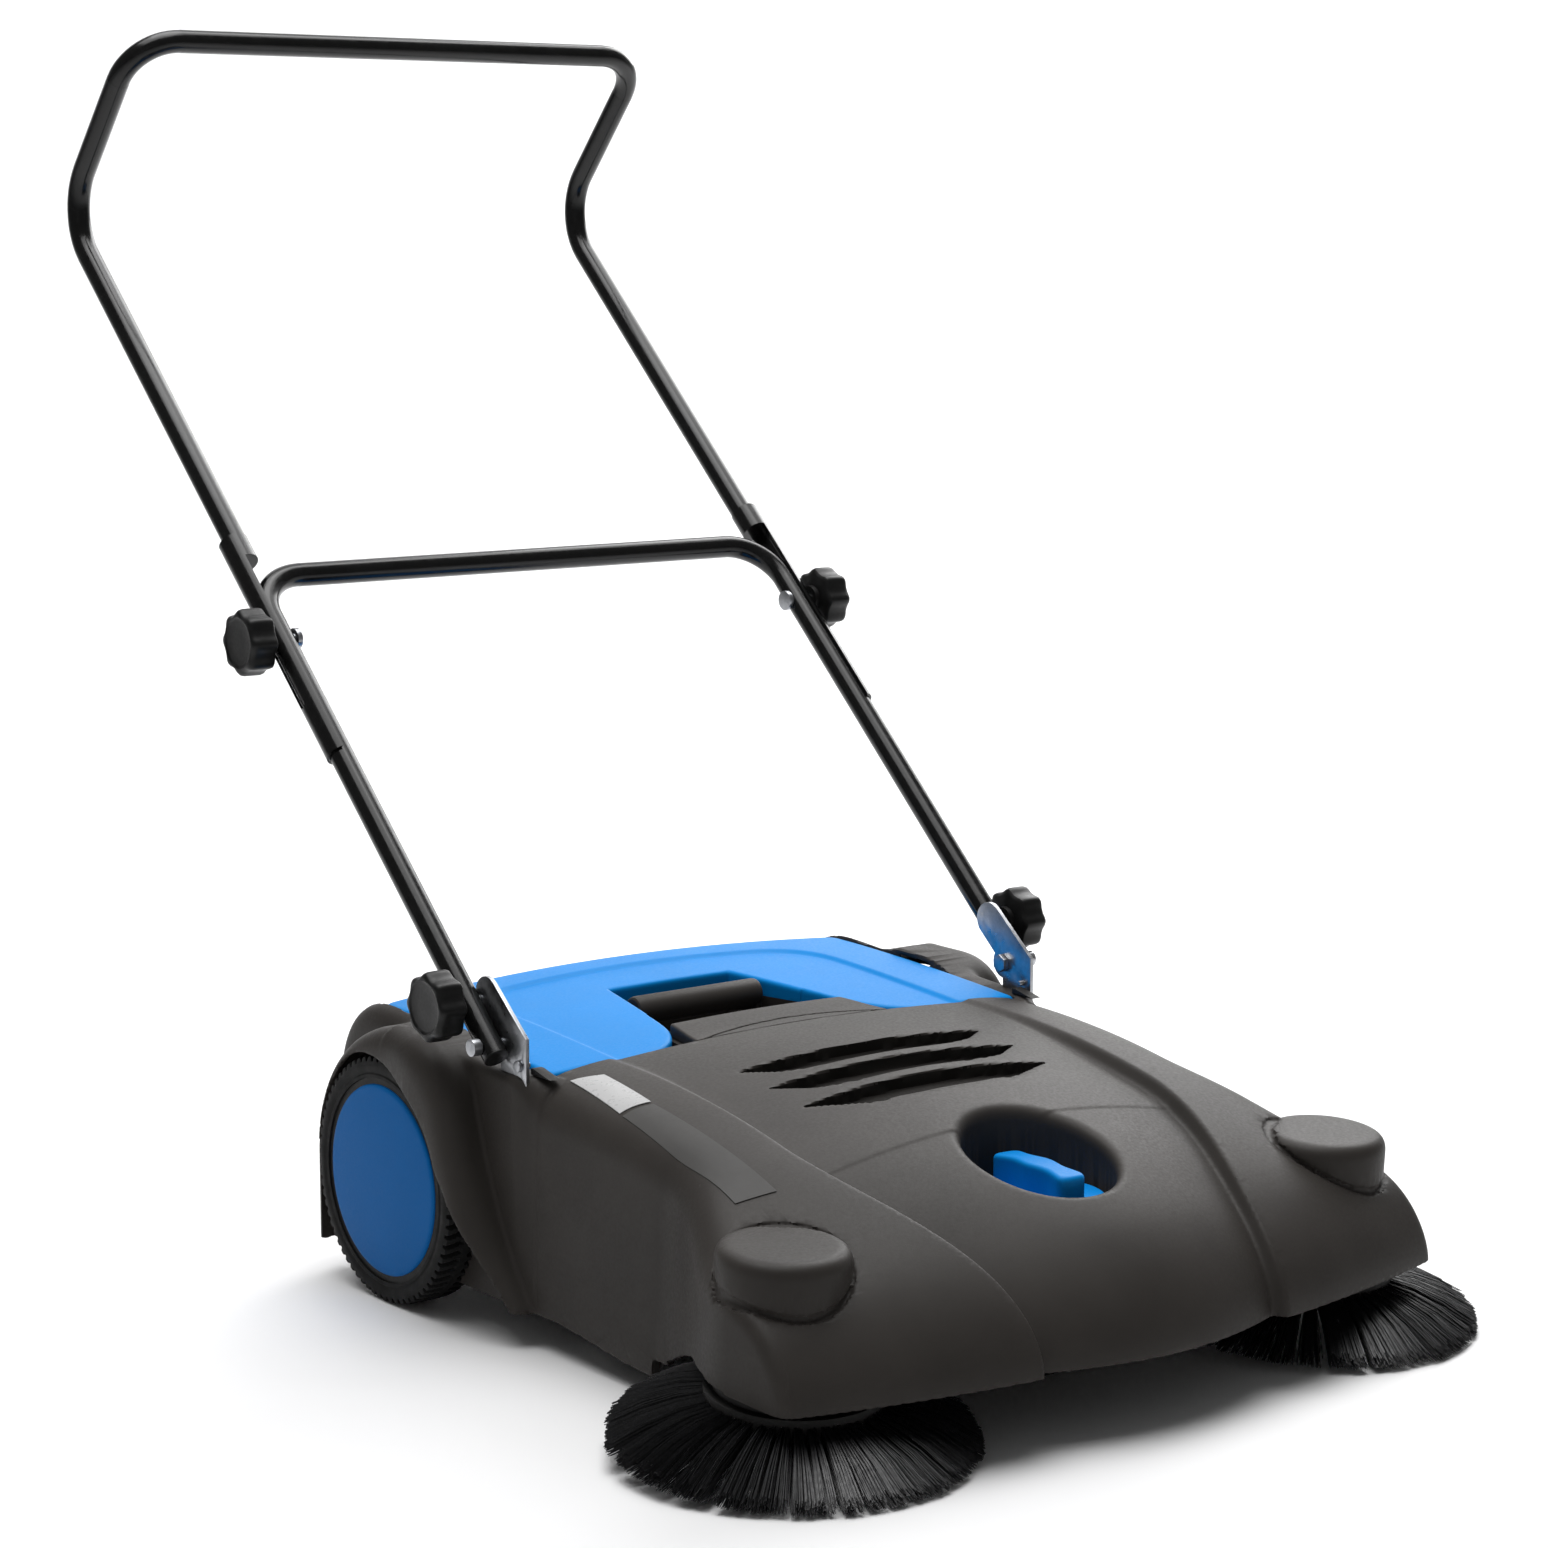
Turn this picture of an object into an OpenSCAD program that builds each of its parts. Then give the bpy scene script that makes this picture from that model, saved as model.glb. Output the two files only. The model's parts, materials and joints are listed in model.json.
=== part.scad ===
// Hand-push floor sweeper with a folding handle, two ground wheels, a sweeping roller
// and two side brushes. It faces -Y; left (-X) and right (+X) are as seen from the front.

/* [Handle] */
// Lean of the handle legs above the horizontal, in degrees
leg_angle = 43; // [38:1:50]
// Half the distance between the handle legs
leg_x = 240; // [236:0.5:244]
// Outer diameter of the handle tube
tube_d = 18; // [16:0.5:19]
// Length of the lower handle legs, pivot to cross bar
lower_len = 438; // [420:1:460]
// Length of the straight handle legs, pivot to the bend below the grip
upper_len = 832; // [780:1:860]
// Length of the grip section above the bend
grip_len = 178; // [150:1:200]
// Height adjustment of the upper handle
adjust_len = 61; // [30:1:61]

/* [Housing] */
// Half width of the housing between the side walls
body_x = 235; // [235:0.5:238]
// Distance from the axle to the front edge
nose_y = 541; // [538:1:545]
// Height of the deck at its rear edge
deck_z = 192; // [190:1:194]
// Height of the front edge above the floor
nose_z = 50; // [48:1:56]
// Wall thickness of the moulded housing
wall = 3; // [2.5:0.1:3.5]

/* [Running gear] */
// Radius of the ground wheels
wheel_r = 90; // [90:0.5:91]
// Width of the tyres
tyre_w = 36; // [30:1:36]
// Radius of the sweeping roller over its bristles
roller_r = 72.7; // [70:0.1:72.7]
// Teeth on the gear of each wheel
wheel_teeth = 72; // [72:1:72]
// Teeth on the roller pinion
pinion_teeth = 24; // [24:1:24]

/* [Side brushes] */
// Distance of each side brush from the centre plane
brush_x = 227.4; // [224:0.2:229]
// Distance of the side brushes ahead of the axle
brush_y = 437.3; // [434:0.1:440]
// Radius over the bristle tips
brush_r = 122.6; // [118:0.2:123]
// Forward tilt of the side brushes, in degrees
brush_tilt = 4; // [3:0.5:4]

/* [Hopper] */
// Half width of the debris bin
bin_x = 205; // [196:1:206]
// Rear face of the bin behind the axle
bin_rear = 92; // [84:1:94]
// Half width of the hand opening in the lid
hand_x = 55; // [50:1:60]

/* [Hidden] */

big = 1200;
gap = 0.3;
fit = 0.05;
steps = 24;
lap = 1;
lap_step = 0.1;

// Handle geometry in the side plane: y points to the rear, z up.
pivot = [-111, 206];
leg_dir = [cos(leg_angle), sin(leg_angle)];
grip_dir = [cos(leg_angle + 89), sin(leg_angle + 89)];
bend_r = 48;
corner_r = 40;
tube_r = tube_d / 2;
tube_wall = 1.5;
leg_end = -10;
low_knob_at = 38;
mid_knob_at = 376;
upper_end_at = 264;
upper_x = leg_x - 2;
knob_r = 25;
knob_t = 22;
bolt_r = 4;

// The rearmost point of the handle is on the bend below the grip.
bend_reach = bend_r / sin(45.5);
rear_reach = pivot[0] + upper_len * leg_dir[0] - bend_reach + bend_r + tube_r;
front_reach = brush_y + brush_r;
// Shift that puts the origin under the middle of the bounding box.
y_shift = (front_reach - rear_reach) / 2;

// Deck profile: a flattened quarter ellipse from the rear edge to the front edge.
deck_rear = -148;
function deck_u(y) = (deck_rear - y) / (nose_y + deck_rear);
function deck_h(y, t) = nose_z + (deck_z - nose_z) * sqrt(max(0, 1 - pow(deck_u(y), 1.9))) - t;
function deck_pts(t) = [for (i = [0 : steps])
    let (y = deck_rear - (nose_y + deck_rear - t) * sin(90 * i / steps))
    [y, max(nose_z - 1, deck_h(y, t))]];
skirt_z = 24;
skirt_front = -330;
rear_cut = -145;

// Half outline of the housing in plan, from the nose to the side wall.
function half_plan(t) = concat(
    [[0, -nose_y - 4 + t], [102, -nose_y + t], [190 - t / 2, -530 + t]],
    [for (a = [-60 : 15 : 30]) [232 + (46 - t) * cos(a), -478 + (46 - t) * sin(a)]],
    [[272 - t, -440], [258 - t, -390], [243 - t, -350], [body_x - t, -325], [body_x - t, rear_cut + 5]]);
function mirrored(pts) = concat(pts, [for (i = [len(pts) - 1 : -1 : 1]) [-pts[i][0], pts[i][1]]]);

// Wheels, gears and roller.
wheel_out = 262;
wheel_in = wheel_out - tyre_w;
hub_r = 69.4;
tread_lugs = 70;
lug_h = 4;
rim_r = 74;
axle_r = 6;
gear_module = 2;
gear_in = 217;
gear_w = 6;
cheek_x = 213;
cheek_t = 3;
roller_z = 73;
gear_distance = gear_module * (wheel_teeth + pinion_teeth) / 2;
roller_y = -sqrt(pow(gear_distance, 2) - pow(wheel_r - roller_z, 2));
// Direction from the wheel's centre to the pinion's, where a wheel tooth meets a pinion gap.
mesh_angle = atan2(roller_y, wheel_r - roller_z);
roller_x = 200;
shaft_r = 6;
arch_r = 94.5;
// The opening below the axle runs forward to this distance at floor level.
arch_toe = 168;
pod_r = 97;
pod_x = 223;

// Side brushes: local z = 0 is the plane of the bristle tips.
brush_lean = 1;
brush_lift = brush_r * sin(sqrt(pow(brush_tilt, 2) + pow(brush_lean, 2))) + gap;
hub_disc_r = 58;
hub_bottom = 21;
hub_top = 41;
floor_z = 72;

// Humps over the side brush drives.
hump = [237, -441, 139];
hump_rx = 50;
hump_ry = 60;

// Knob well, height spindle and support roller.
well = [0, -410];
well_r = 66;
well_floor = 118;
// Knob disc, and the width of its grip bar.
disc_r = 46;
bar_w = 20;
spindle_r = 5;
support_r = 25;

// Hopper.
lid_x = 211;
lid_front = -143;
lid_rear = 84;
lid_z = 190;
bin_floor = 26;
bin_front = lid_front + 3.5;
bin_top = lid_z - 3.2;
hand_floor = 162;
hand_front = -96;
roller_clear = 77;

function unit(v) = v / norm(v);
function leg_point(x, d) = [x, pivot[0] + d * leg_dir[0], pivot[1] + d * leg_dir[1]];
function grip_point(x) = leg_point(x, upper_len) + grip_len * [0, grip_dir[0], grip_dir[1]];

function arc_pts(c, r, a0, a1) = [for (i = [0 : 8]) let (a = a0 + (a1 - a0) * i / 8)
    c + r * [cos(a), sin(a)]];

// --- helpers -------------------------------------------------------------------------------

// Round bar from a to b, hollow when bore is above 0.
module rod(a, b, r, bore = 0) {
    v = b - a;
    translate(a) rotate([0, acos(v[2] / norm(v)), atan2(v[1], v[0])])
        linear_extrude(height = norm(v)) ring(r, bore);
}

module ring(r, bore) {
    difference() {
        circle(r = r, $fn = 48);
        if (bore > 0) circle(r = bore, $fn = 48);
    }
}

// Tube along a path of points with rounded corners. Each bend is a hair thinner than the straights
// and runs a little way into them.
module tube_path(pts, corner, r, bore) {
    n = len(pts);
    dirs = [for (i = [0 : n - 2]) unit(pts[i + 1] - pts[i])];
    cut = [for (i = [0 : n - 1]) i == 0 || i == n - 1 ? 0 : corner[i] * tan(acos(dirs[i - 1] * dirs[i]) / 2)];
    for (i = [0 : n - 2]) rod(pts[i] + cut[i] * dirs[i], pts[i + 1] - cut[i + 1] * dirs[i], r, bore);
    for (i = [1 : n - 2]) {
        d1 = dirs[i - 1];
        d2 = dirs[i];
        side = unit(d2 - (d1 * d2) * d1);
        centre = pts[i] - cut[i] * d1 + corner[i] * side;
        up = cross(-side, d1);
        multmatrix([[-side[0], d1[0], up[0], centre[0]], [-side[1], d1[1], up[1], centre[1]],
            [-side[2], d1[2], up[2], centre[2]], [0, 0, 0, 1]])
            rotate(-lap) rotate_extrude(angle = acos(d1 * d2) + 2 * lap, $fn = 64)
                translate([corner[i], 0]) ring(r - lap_step, bore > 0 ? bore + lap_step : 0);
    }
}

// Cylinder along X between x0 and x1 at (y, z).
module x_cyl(x0, x1, y, z, r, n = 64) {
    translate([min(x0, x1), y, z]) rotate([0, 90, 0]) cylinder(r = r, h = abs(x1 - x0), $fn = n);
}

// Cylinder across the handle at distance d along the leg.
module leg_cyl(x0, x1, d, r) {
    x_cyl(x0, x1, leg_point(0, d)[1], leg_point(0, d)[2], r, 48);
}

// Extrude a side view, drawn as [y, z] points, along X between x0 and x1.
module side_extrude(x0, x1) {
    translate([x0, 0, 0]) rotate([90, 0, 90]) linear_extrude(height = x1 - x0) children();
}

// Extrude a plan view along Z.
module plan_extrude(z0, z1) {
    translate([0, 0, z0]) linear_extrude(height = z1 - z0) children();
}

module place_brush(side) {
    translate([side * brush_x, -brush_y, brush_lift]) rotate([brush_tilt, side * brush_lean, 0])
        children();
}

// Space that a turning side brush needs.
module brush_envelope(c) {
    rotate_extrude($fn = 96) polygon([[0, -12], [brush_r + c, -12], [brush_r + c, 12 + c],
        [hub_disc_r + 8 + c, hub_top + c], [0, hub_top + c]]);
}

// Ellipse as a polygon.
module oval(rx, ry) {
    polygon([for (a = [0 : 7.5 : 352.5]) [rx * cos(a), ry * sin(a)]]);
}

// Spur gear outline with straight-flanked teeth.
module gear_outline(teeth, backlash) {
    pitch_r = gear_module * teeth / 2;
    half = 90 / teeth - backlash;
    polygon([for (i = [0 : teeth - 1]) for (p = [[-1.5, -1.25], [-1, 0], [-0.45, 0.9],
        [0.45, 0.9], [1, 0], [1.5, -1.25]]) let (r = pitch_r + p[1] * gear_module,
        a = i * 360 / teeth + p[0] * half) [r * cos(a), r * sin(a)]]);
}

// --- chassis -------------------------------------------------------------------------------

module front_shell(t) {
    intersection() {
        side_extrude(-big, big) polygon(concat([[rear_cut, t > 0 ? -10 : skirt_z], [rear_cut,
            deck_z - t]],
            deck_pts(t), t > 0 ? [[-nose_y + t, -10]] : [[-nose_y, nose_z], [-370, nose_z - 8],
            [skirt_front - 15, skirt_z + 8], [skirt_front, skirt_z + 8], [skirt_front + 10, skirt_z]]));
        plan_extrude(-20, 260) polygon(mirrored(half_plan(t)));
    }
}

module humps(t) {
    for (side = [-1, 1]) translate([side * hump[0], hump[1], nose_z - (t > 0 ? 20 : 0)])
        linear_extrude(height = hump[2] - nose_z - t + (t > 0 ? 20 : 0)) oval(hump_rx - t, hump_ry - t);
}

// Three curved vents sunk into the deck.
module deck_slots() {
    intersection() {
        for (i = [0 : 2]) translate([0, -236 - 36 * i, 100]) linear_extrude(height = 120)
            polygon(concat([for (x = [-110 : 22 : 110]) [x, 15 + 4.5 * (1 - pow(x / 110, 2))]],
                [for (x = [84 : -24 : -84]) [x, 5 - 6 * pow(x / 84, 2)]]));
        side_extrude(-big, big) polygon(concat([[rear_cut, deck_z - 2]], deck_pts(2), [[-nose_y,
            300], [rear_cut, 300]]));
    }
}

// Side view of the fender: rear lip, round top and front sweep.
function fender_pts(t) = concat(
    [[101 - t, t > 0 ? -10 : skirt_z]],
    [for (a = [12 : 12 : 96]) let (r = 101 + 11 * pow(a / 96, 2) - t) [r * cos(a), wheel_r + r * sin(a)]],
    [[-30, 202 - t], [-72 + t, 199 - t], [-84 + t, 163], [-92 + t, 145], [-105 + t, 112], [-121 + t, 76],
    [-138 + t, 49], [-151 + t, t > 0 ? -10 : skirt_z]]);

module fender(side) {
    outer_x = wheel_out;
    inner_x = bin_x + 4;
    mirror([side < 0 ? 1 : 0, 0, 0]) difference() {
        side_extrude(inner_x, outer_x) polygon(fender_pts(0));
        side_extrude(inner_x + wall, outer_x - wall) polygon(fender_pts(wall));
        x_cyl(outer_x - 2 * wall, big, 0, wheel_r, arch_r, 96);
        side_extrude(outer_x - 2 * wall, big)
            polygon([[-arch_toe, -1], [arch_r, -1], [arch_r, wheel_r], [-arch_r, wheel_r]]);
    }
}

// Rounded rear corner of the housing, between the hopper and the fender.
function pod_pts(t) = [[-40, 199 - t], [20, 203 - t], [66, 202 - t], [102 - t / 2, 190 - t],
    [121 - t, 172 - t / 2],
    [128 - t, 150], [128 - t, t > 0 ? 40 : 60], [40, t > 0 ? 40 : 60]];

module rear_pod(side) mirror([side < 0 ? 1 : 0, 0, 0]) difference() {
    side_extrude(bin_x + 4, pod_x) polygon(pod_pts(0));
    side_extrude(bin_x + 4 + wall, big) polygon(pod_pts(wall));
    x_cyl(bin_x, big, 0, wheel_r, pod_r, 96);
}

// Side rail between the deck and the fender, carrying the bracket slot.
module side_rail(side) {
    inner_x = bin_x + 4;
    mirror([side < 0 ? 1 : 0, 0, 0]) difference() {
        side_extrude(inner_x, body_x) polygon([[rear_cut - wall, skirt_z], [rear_cut - wall, deck_z - 4],
            [-60, deck_z + 2], [-60, 160], [-80, 112], [-100, 74], [-130, skirt_z]]);
        side_extrude(inner_x + wall, body_x - wall) polygon([[rear_cut - big, -10],
            [rear_cut - big, deck_z - 10],
            [-40, deck_z - 4], [-40, -10]]);
        x_cyl(inner_x + wall, big, 0, wheel_r, wheel_r + 4, 96);
    }
}

module main_housing() color("#4a4745") translate([0, y_shift, 0]) difference() {
    union() {
        difference() {
            union() {
                front_shell(0);
                humps(0);
            }
            difference() {
                union() {
                    front_shell(wall);
                    humps(wall);
                }
                translate([well[0], well[1], well_floor - wall])
                    cylinder(r = well_r + wall, h = 100, $fn = 96);
            }
        }
        for (side = [-1, 1]) {
            fender(side);
            rear_pod(side);
            side_rail(side);
        }
    }
    translate([well[0], well[1], well_floor]) cylinder(r = well_r, h = 100, $fn = 96);
    translate([well[0], well[1], 0]) cylinder(r = spindle_r + 2, h = 200, $fn = 48);
    deck_slots();
    x_cyl(-cheek_x - 4, cheek_x + 4, roller_y, roller_z, 16);
    x_cyl(-cheek_x - 4, cheek_x + 4, 0, wheel_r, 13);
    translate([-lid_x - 2 * gap, rear_cut + 1, lid_z - 6 - gap]) cube([2 * lid_x + 4 * gap, big, 60]);
    for (side = [-1, 1]) {
        place_brush(side) brush_envelope(2);
        translate([side * (leg_x - 10.5) - wall / 2, -142, 150]) cube([wall, 33, 60]);
        pod_mid = side * (bin_x + body_x + 4) / 2;
        pod_w = body_x - bin_x - 4 - 2 * wall;
        side_extrude(pod_mid - pod_w / 2, pod_mid + pod_w / 2)
            polygon([[-148, -10], [-148, 178], [-60, 186], [-38, 150], [-38, -10]]);
    }
}

// Sheet that closes the housing above the side brushes.
module front_floor() color("#2f2d2c") translate([0, y_shift, 0]) difference() {
    plan_extrude(floor_z, floor_z + wall) intersection() {
        polygon(mirrored(half_plan(wall + 4)));
        translate([-big / 2, -518]) square([big, 518 - 190]);
    }
    translate([well[0], well[1], 0]) cylinder(r = 15, h = 200, $fn = 48);
    for (side = [-1, 1]) place_brush(side) cylinder(r = 14, h = 200, $fn = 48);
}

// Plate beside the roller and wheel that carries the stub axle and the roller bush.
module cheek(side) color("#3a3836")
    translate([0, y_shift, 0]) mirror([side < 0 ? 1 : 0, 0, 0]) difference() {
    side_extrude(cheek_x, cheek_x + cheek_t) polygon([[-128, 40], [-128, 150], [-60, 182], [-10,
        182], [40, 130],
        [40, 60], [0, 40]]);
    x_cyl(cheek_x - 1, cheek_x + cheek_t + 1, 0, wheel_r, axle_r);
    x_cyl(cheek_x - 1, cheek_x + cheek_t + 1, roller_y, roller_z, 12);
}

// Bent steel plate that carries the folding handle.
module bracket(side) color("#b9bcc0")
    translate([0, y_shift, 0]) mirror([side < 0 ? 1 : 0, 0, 0]) difference() {
    side_extrude(leg_x - 12, leg_x - 12 + wall) polygon(concat([[-142, 152], [-112, 152]],
        arc_pts(pivot, 12, -85, 30), arc_pts([-93, 236.5], 13.8, -35, 130), [[-142, 214]]));
    x_cyl(leg_x - 20, leg_x, pivot[0], pivot[1], bolt_r, 48);
    x_cyl(leg_x - 20, leg_x, -134, 194, 2, 32);
}

module bracket_screw(side) color("#c9ccd0") translate([0, y_shift, 0]) mirror([side < 0 ? 1 : 0, 0, 0]) {
    x_cyl(leg_x - 17, leg_x - 9, -134, 194, 2, 32);
    x_cyl(leg_x - 9, leg_x - 6.5, -134, 194, 4, 32);
}

module pivot_bolt(side) color("#c9ccd0") translate([0, y_shift, 0]) mirror([side < 0 ? 1 : 0, 0, 0]) {
    x_cyl(leg_x - 14, leg_x + tube_r + 1, pivot[0], pivot[1], bolt_r, 48);
    x_cyl(leg_x + tube_r + 0.5, leg_x + tube_r + 7, pivot[0], pivot[1], 6, 48);
    x_cyl(leg_x - 17, leg_x - 12, pivot[0], pivot[1], 7, 6);
}

// Small moulded flap at the foot of the bracket.
module slot_flap(side) color("#262524") translate([0, y_shift, 0]) mirror([side < 0 ? 1 : 0, 0, 0])
    side_extrude(leg_x - 27, leg_x - 12.5) polygon([[-160, deck_z], [-140, deck_z + 4.5], [-136,
        deck_z + 4.5], [-136, deck_z]]);

module axle(side) color("#b9bcc0") translate([0, y_shift, 0]) mirror([side < 0 ? 1 : 0, 0, 0]) {
    x_cyl(cheek_x - 6, wheel_out - 8, 0, wheel_r, axle_r);
    x_cyl(cheek_x - 4, cheek_x, 0, wheel_r, 12);
}

module roller_bush(side) color("#d8d8d2")
    translate([0, y_shift, 0]) mirror([side < 0 ? 1 : 0, 0, 0]) difference() {
    union() {
        x_cyl(cheek_x - 6, cheek_x + cheek_t, roller_y, roller_z, 12);
        x_cyl(cheek_x - 6, cheek_x, roller_y, roller_z, 15);
    }
    x_cyl(cheek_x - 9, cheek_x + 9, roller_y, roller_z, shaft_r + fit);
}

module brush_bush(side) color("#d8d8d2") translate([0, y_shift, 0]) place_brush(side) difference() {
    union() {
        translate([0, 0, hub_top + 3]) cylinder(r = 13, h = 42, $fn = 64);
        translate([0, 0, hub_top + 27]) cylinder(r = 20, h = 6, $fn = 64);
    }
    cylinder(r = shaft_r + fit, h = 200, $fn = 48);
}

module blank_label() color("#8d8c8a") translate([0, y_shift, 0])
    intersection() {
        plan_extrude(100, 220) polygon([[-228, -190], [-206, -178], [-190, -352], [-212, -364]]);
        side_extrude(-big, big) difference() {
            polygon(concat([[rear_cut, deck_z + 0.5]], deck_pts(-0.5), [[-nose_y, 0], [rear_cut, 0]]));
            polygon(concat([[rear_cut + 1, deck_z]], deck_pts(0), [[-nose_y, -10], [rear_cut + 1, -10]]));
        }
    }

// Guide for the height spindle, hung from the floor of the knob well.
module guide_sleeve() color("#2f2d2c") translate([well[0], well[1] + y_shift, 0]) difference() {
    translate([0, 0, 66]) cylinder(r = 12, h = well_floor - wall - 66, $fn = 64);
    cylinder(r = spindle_r + fit, h = 200, $fn = 48);
}

// --- hopper --------------------------------------------------------------------------------

// Side view of the bin; t > 0 gives its inside, open at the top.
function bin_pts(t) = concat([[-18 + t, bin_floor + t], [bin_rear - 8 - t, bin_floor + t],
    [bin_rear - t, bin_floor + 8 + t]],
    t > 0 ? [[bin_rear - t, big / 4], [bin_front + t, big / 4]]
        : [[bin_rear, lid_z - 6], [bin_rear - 15, lid_z - 6], [bin_rear - 15, bin_top], [bin_front,
            bin_top]],
    [[bin_front + t, 140 + t], [-60, 90 + t], [-18 + t, 70]]);

// Plan of the hand opening, wider by c all round.
module hand_plan(c) {
    polygon([[-hand_x - 37 - c, -160], [-hand_x - c, 10 + c], [hand_x + c, 10 + c],
        [hand_x + 37 + c, -160]]);
}

module behind(y) {
    translate([-big / 2, y]) square([big, big]);
}

module hopper_bin() color("#3d3b39") translate([0, y_shift, 0]) difference() {
    side_extrude(-bin_x, bin_x) polygon(bin_pts(0));
    difference() {
        side_extrude(-bin_x + wall, bin_x - wall) polygon(bin_pts(wall));
        x_cyl(-bin_x, bin_x, roller_y, roller_z, roller_clear + wall, 96);
        plan_extrude(hand_floor - wall, 220) intersection() {
            hand_plan(wall);
            behind(hand_front - wall);
        }
        plan_extrude(bin_top - wall, 220) hand_plan(wall);
    }
    x_cyl(-big, big, roller_y, roller_z, roller_clear, 96);
    translate([-bin_x + wall, -40, bin_floor + wall]) cube([2 * (bin_x - wall), 60, 80]);
    plan_extrude(hand_floor, 240) intersection() {
        hand_plan(0);
        behind(hand_front);
    }
}

// Panel in front of the hand opening, level with the deck.
module hopper_panel() color("#4a4745") translate([0, y_shift, 0]) intersection() {
    side_extrude(-big, big) polygon([[lid_front, bin_top], [lid_front, lid_z + 2], [hand_front,
        lid_z + 7], [hand_front, bin_top]]);
    plan_extrude(150, 240) hand_plan(-gap);
}

module lid_side(t) {
    polygon(concat([[lid_front, lid_z - 6], [lid_front, lid_z - t]],
        [for (i = [1 : 10]) let (y = lid_front + (lid_rear + 10 - lid_front) * i / 10) [y,
            lid_z + 13 * sin(12 * i + 10) - t - 2]],
        [[lid_rear + 10, lid_z - 6]]));
}

module hopper_lid() color("#2f8be6") translate([0, y_shift, 0]) difference() {
    intersection() {
        side_extrude(-lid_x, lid_x) lid_side(0);
        plan_extrude(150, 260) polygon(concat([[-lid_x, lid_front], [lid_x, lid_front]],
            [for (x = [lid_x : -lid_x / 6 : -lid_x - 1]) [x, lid_rear + 10 - 12 * pow(x / lid_x, 2)]]));
    }
    intersection() {
        side_extrude(-lid_x + wall, lid_x - wall) lid_side(wall);
        plan_extrude(0, 260) polygon([[-lid_x, lid_front + wall], [lid_x, lid_front + wall],
            [lid_x, lid_rear - 6], [-lid_x, lid_rear - 6]]);
        translate([-big / 2, -big / 2, 0]) cube([big, big, lid_z - 2]);
    }
    plan_extrude(100, 260) hand_plan(0);
}

// Round bar across the hand opening on two lugs.
module carry_handle() color("#3d3b39") translate([0, y_shift, 0]) {
    x_cyl(-hand_x - 2, hand_x + 2, -22, lid_z, 11, 64);
    for (side = [-1, 1]) translate([side * (hand_x - 1) - 3, -31, hand_floor])
        cube([6, 18, lid_z - hand_floor]);
}

// --- handle --------------------------------------------------------------------------------

module lower_frame() color("#151515") translate([0, y_shift, 0]) difference() {
    tube_path([leg_point(-leg_x, leg_end), leg_point(-leg_x, lower_len), leg_point(leg_x, lower_len),
        leg_point(leg_x, leg_end)], [0, corner_r, corner_r, 0], tube_r, tube_r - tube_wall);
    for (side = [-1, 1]) {
        leg_cyl(side * (leg_x - 20), side * (leg_x + 20), 0, bolt_r + fit);
        leg_cyl(side * (leg_x - 20), side * (leg_x + 20), low_knob_at, bolt_r);
        leg_cyl(side * (leg_x - 20), side * (leg_x + 20), mid_knob_at, bolt_r);
    }
}

module leg_plug(side) color("#1c1c1c") translate([0, y_shift, 0]) {
    rod(leg_point(side * leg_x, leg_end - 1.5), leg_point(side * leg_x, leg_end), tube_r);
    rod(leg_point(side * leg_x, leg_end - 1), leg_point(side * leg_x, leg_end + 5), tube_r - tube_wall);
}

// Carriage bolt through both legs, head inboard.
module mid_bolt(side) color("#b9bcc0") translate([0, y_shift, 0]) {
    leg_cyl(side * (leg_x - tube_r - 1), side * (leg_x + 32), mid_knob_at, bolt_r);
    leg_cyl(side * (leg_x - tube_r - 4), side * (leg_x - tube_r), mid_knob_at, 8);
}

saddle_r = tube_r + gap + 2;
saddle_end = 452;

// Open channel at the foot of each upper leg, outboard of the lower leg.
module saddle(side) difference() {
    rod(leg_point(side * leg_x, upper_end_at), leg_point(side * leg_x, saddle_end + 22), saddle_r);
    rod(leg_point(side * leg_x, upper_end_at - 9), leg_point(side * leg_x, saddle_end), tube_r + gap);
    translate(leg_point(side * leg_x, 0)) rotate([leg_angle, 0, 0]) {
        translate([side > 0 ? -40 : -3, upper_end_at - 9, -40])
            cube([43, saddle_end - upper_end_at + 9, 80]);
        translate([side > 0 ? 0 : -40, mid_knob_at - adjust_len, -bolt_r - gap])
            cube([40, adjust_len, 2 * (bolt_r + gap)]);
    }
    for (d = [mid_knob_at, mid_knob_at - adjust_len]) leg_cyl(side * leg_x, side * (leg_x + 30), d,
        bolt_r + gap);
}

module upper_handle() color("#151515") translate([0, y_shift, 0]) {
    foot = saddle_end + 22;
    for (side = [-1, 1]) saddle(side);
    tube_path([leg_point(-upper_x, foot), leg_point(-upper_x, upper_len), grip_point(-upper_x),
        grip_point(upper_x), leg_point(upper_x, upper_len), leg_point(upper_x, foot)],
        [0, bend_r, corner_r, corner_r, bend_r, 0], tube_r, tube_r - tube_wall);
}

// Star-grip head: eight lobes round a boss.
module star_head(x_in, d, side) {
    p = leg_point(side * x_in, d);
    translate(p) rotate([0, side * 90, 0]) {
        difference() {
            cylinder(r = knob_r, h = knob_t, $fn = 96);
            for (i = [0 : 7]) rotate(45 * i) translate([knob_r + 5.5, 0, -1])
                cylinder(r = 8, h = knob_t + 2, $fn = 32);
            translate([0, 0, -1]) cylinder(r = bolt_r + fit, h = knob_t - 3, $fn = 48);
        }
        difference() {
            translate([0, 0, -4]) cylinder(r = 10, h = 4.5, $fn = 48);
            translate([0, 0, -5]) cylinder(r = bolt_r + fit, h = 8, $fn = 48);
        }
    }
}

module low_knob(side) color("#1b1b1b")
    translate([0, y_shift, 0]) star_head(leg_x + tube_r + 5, low_knob_at, side);

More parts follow.
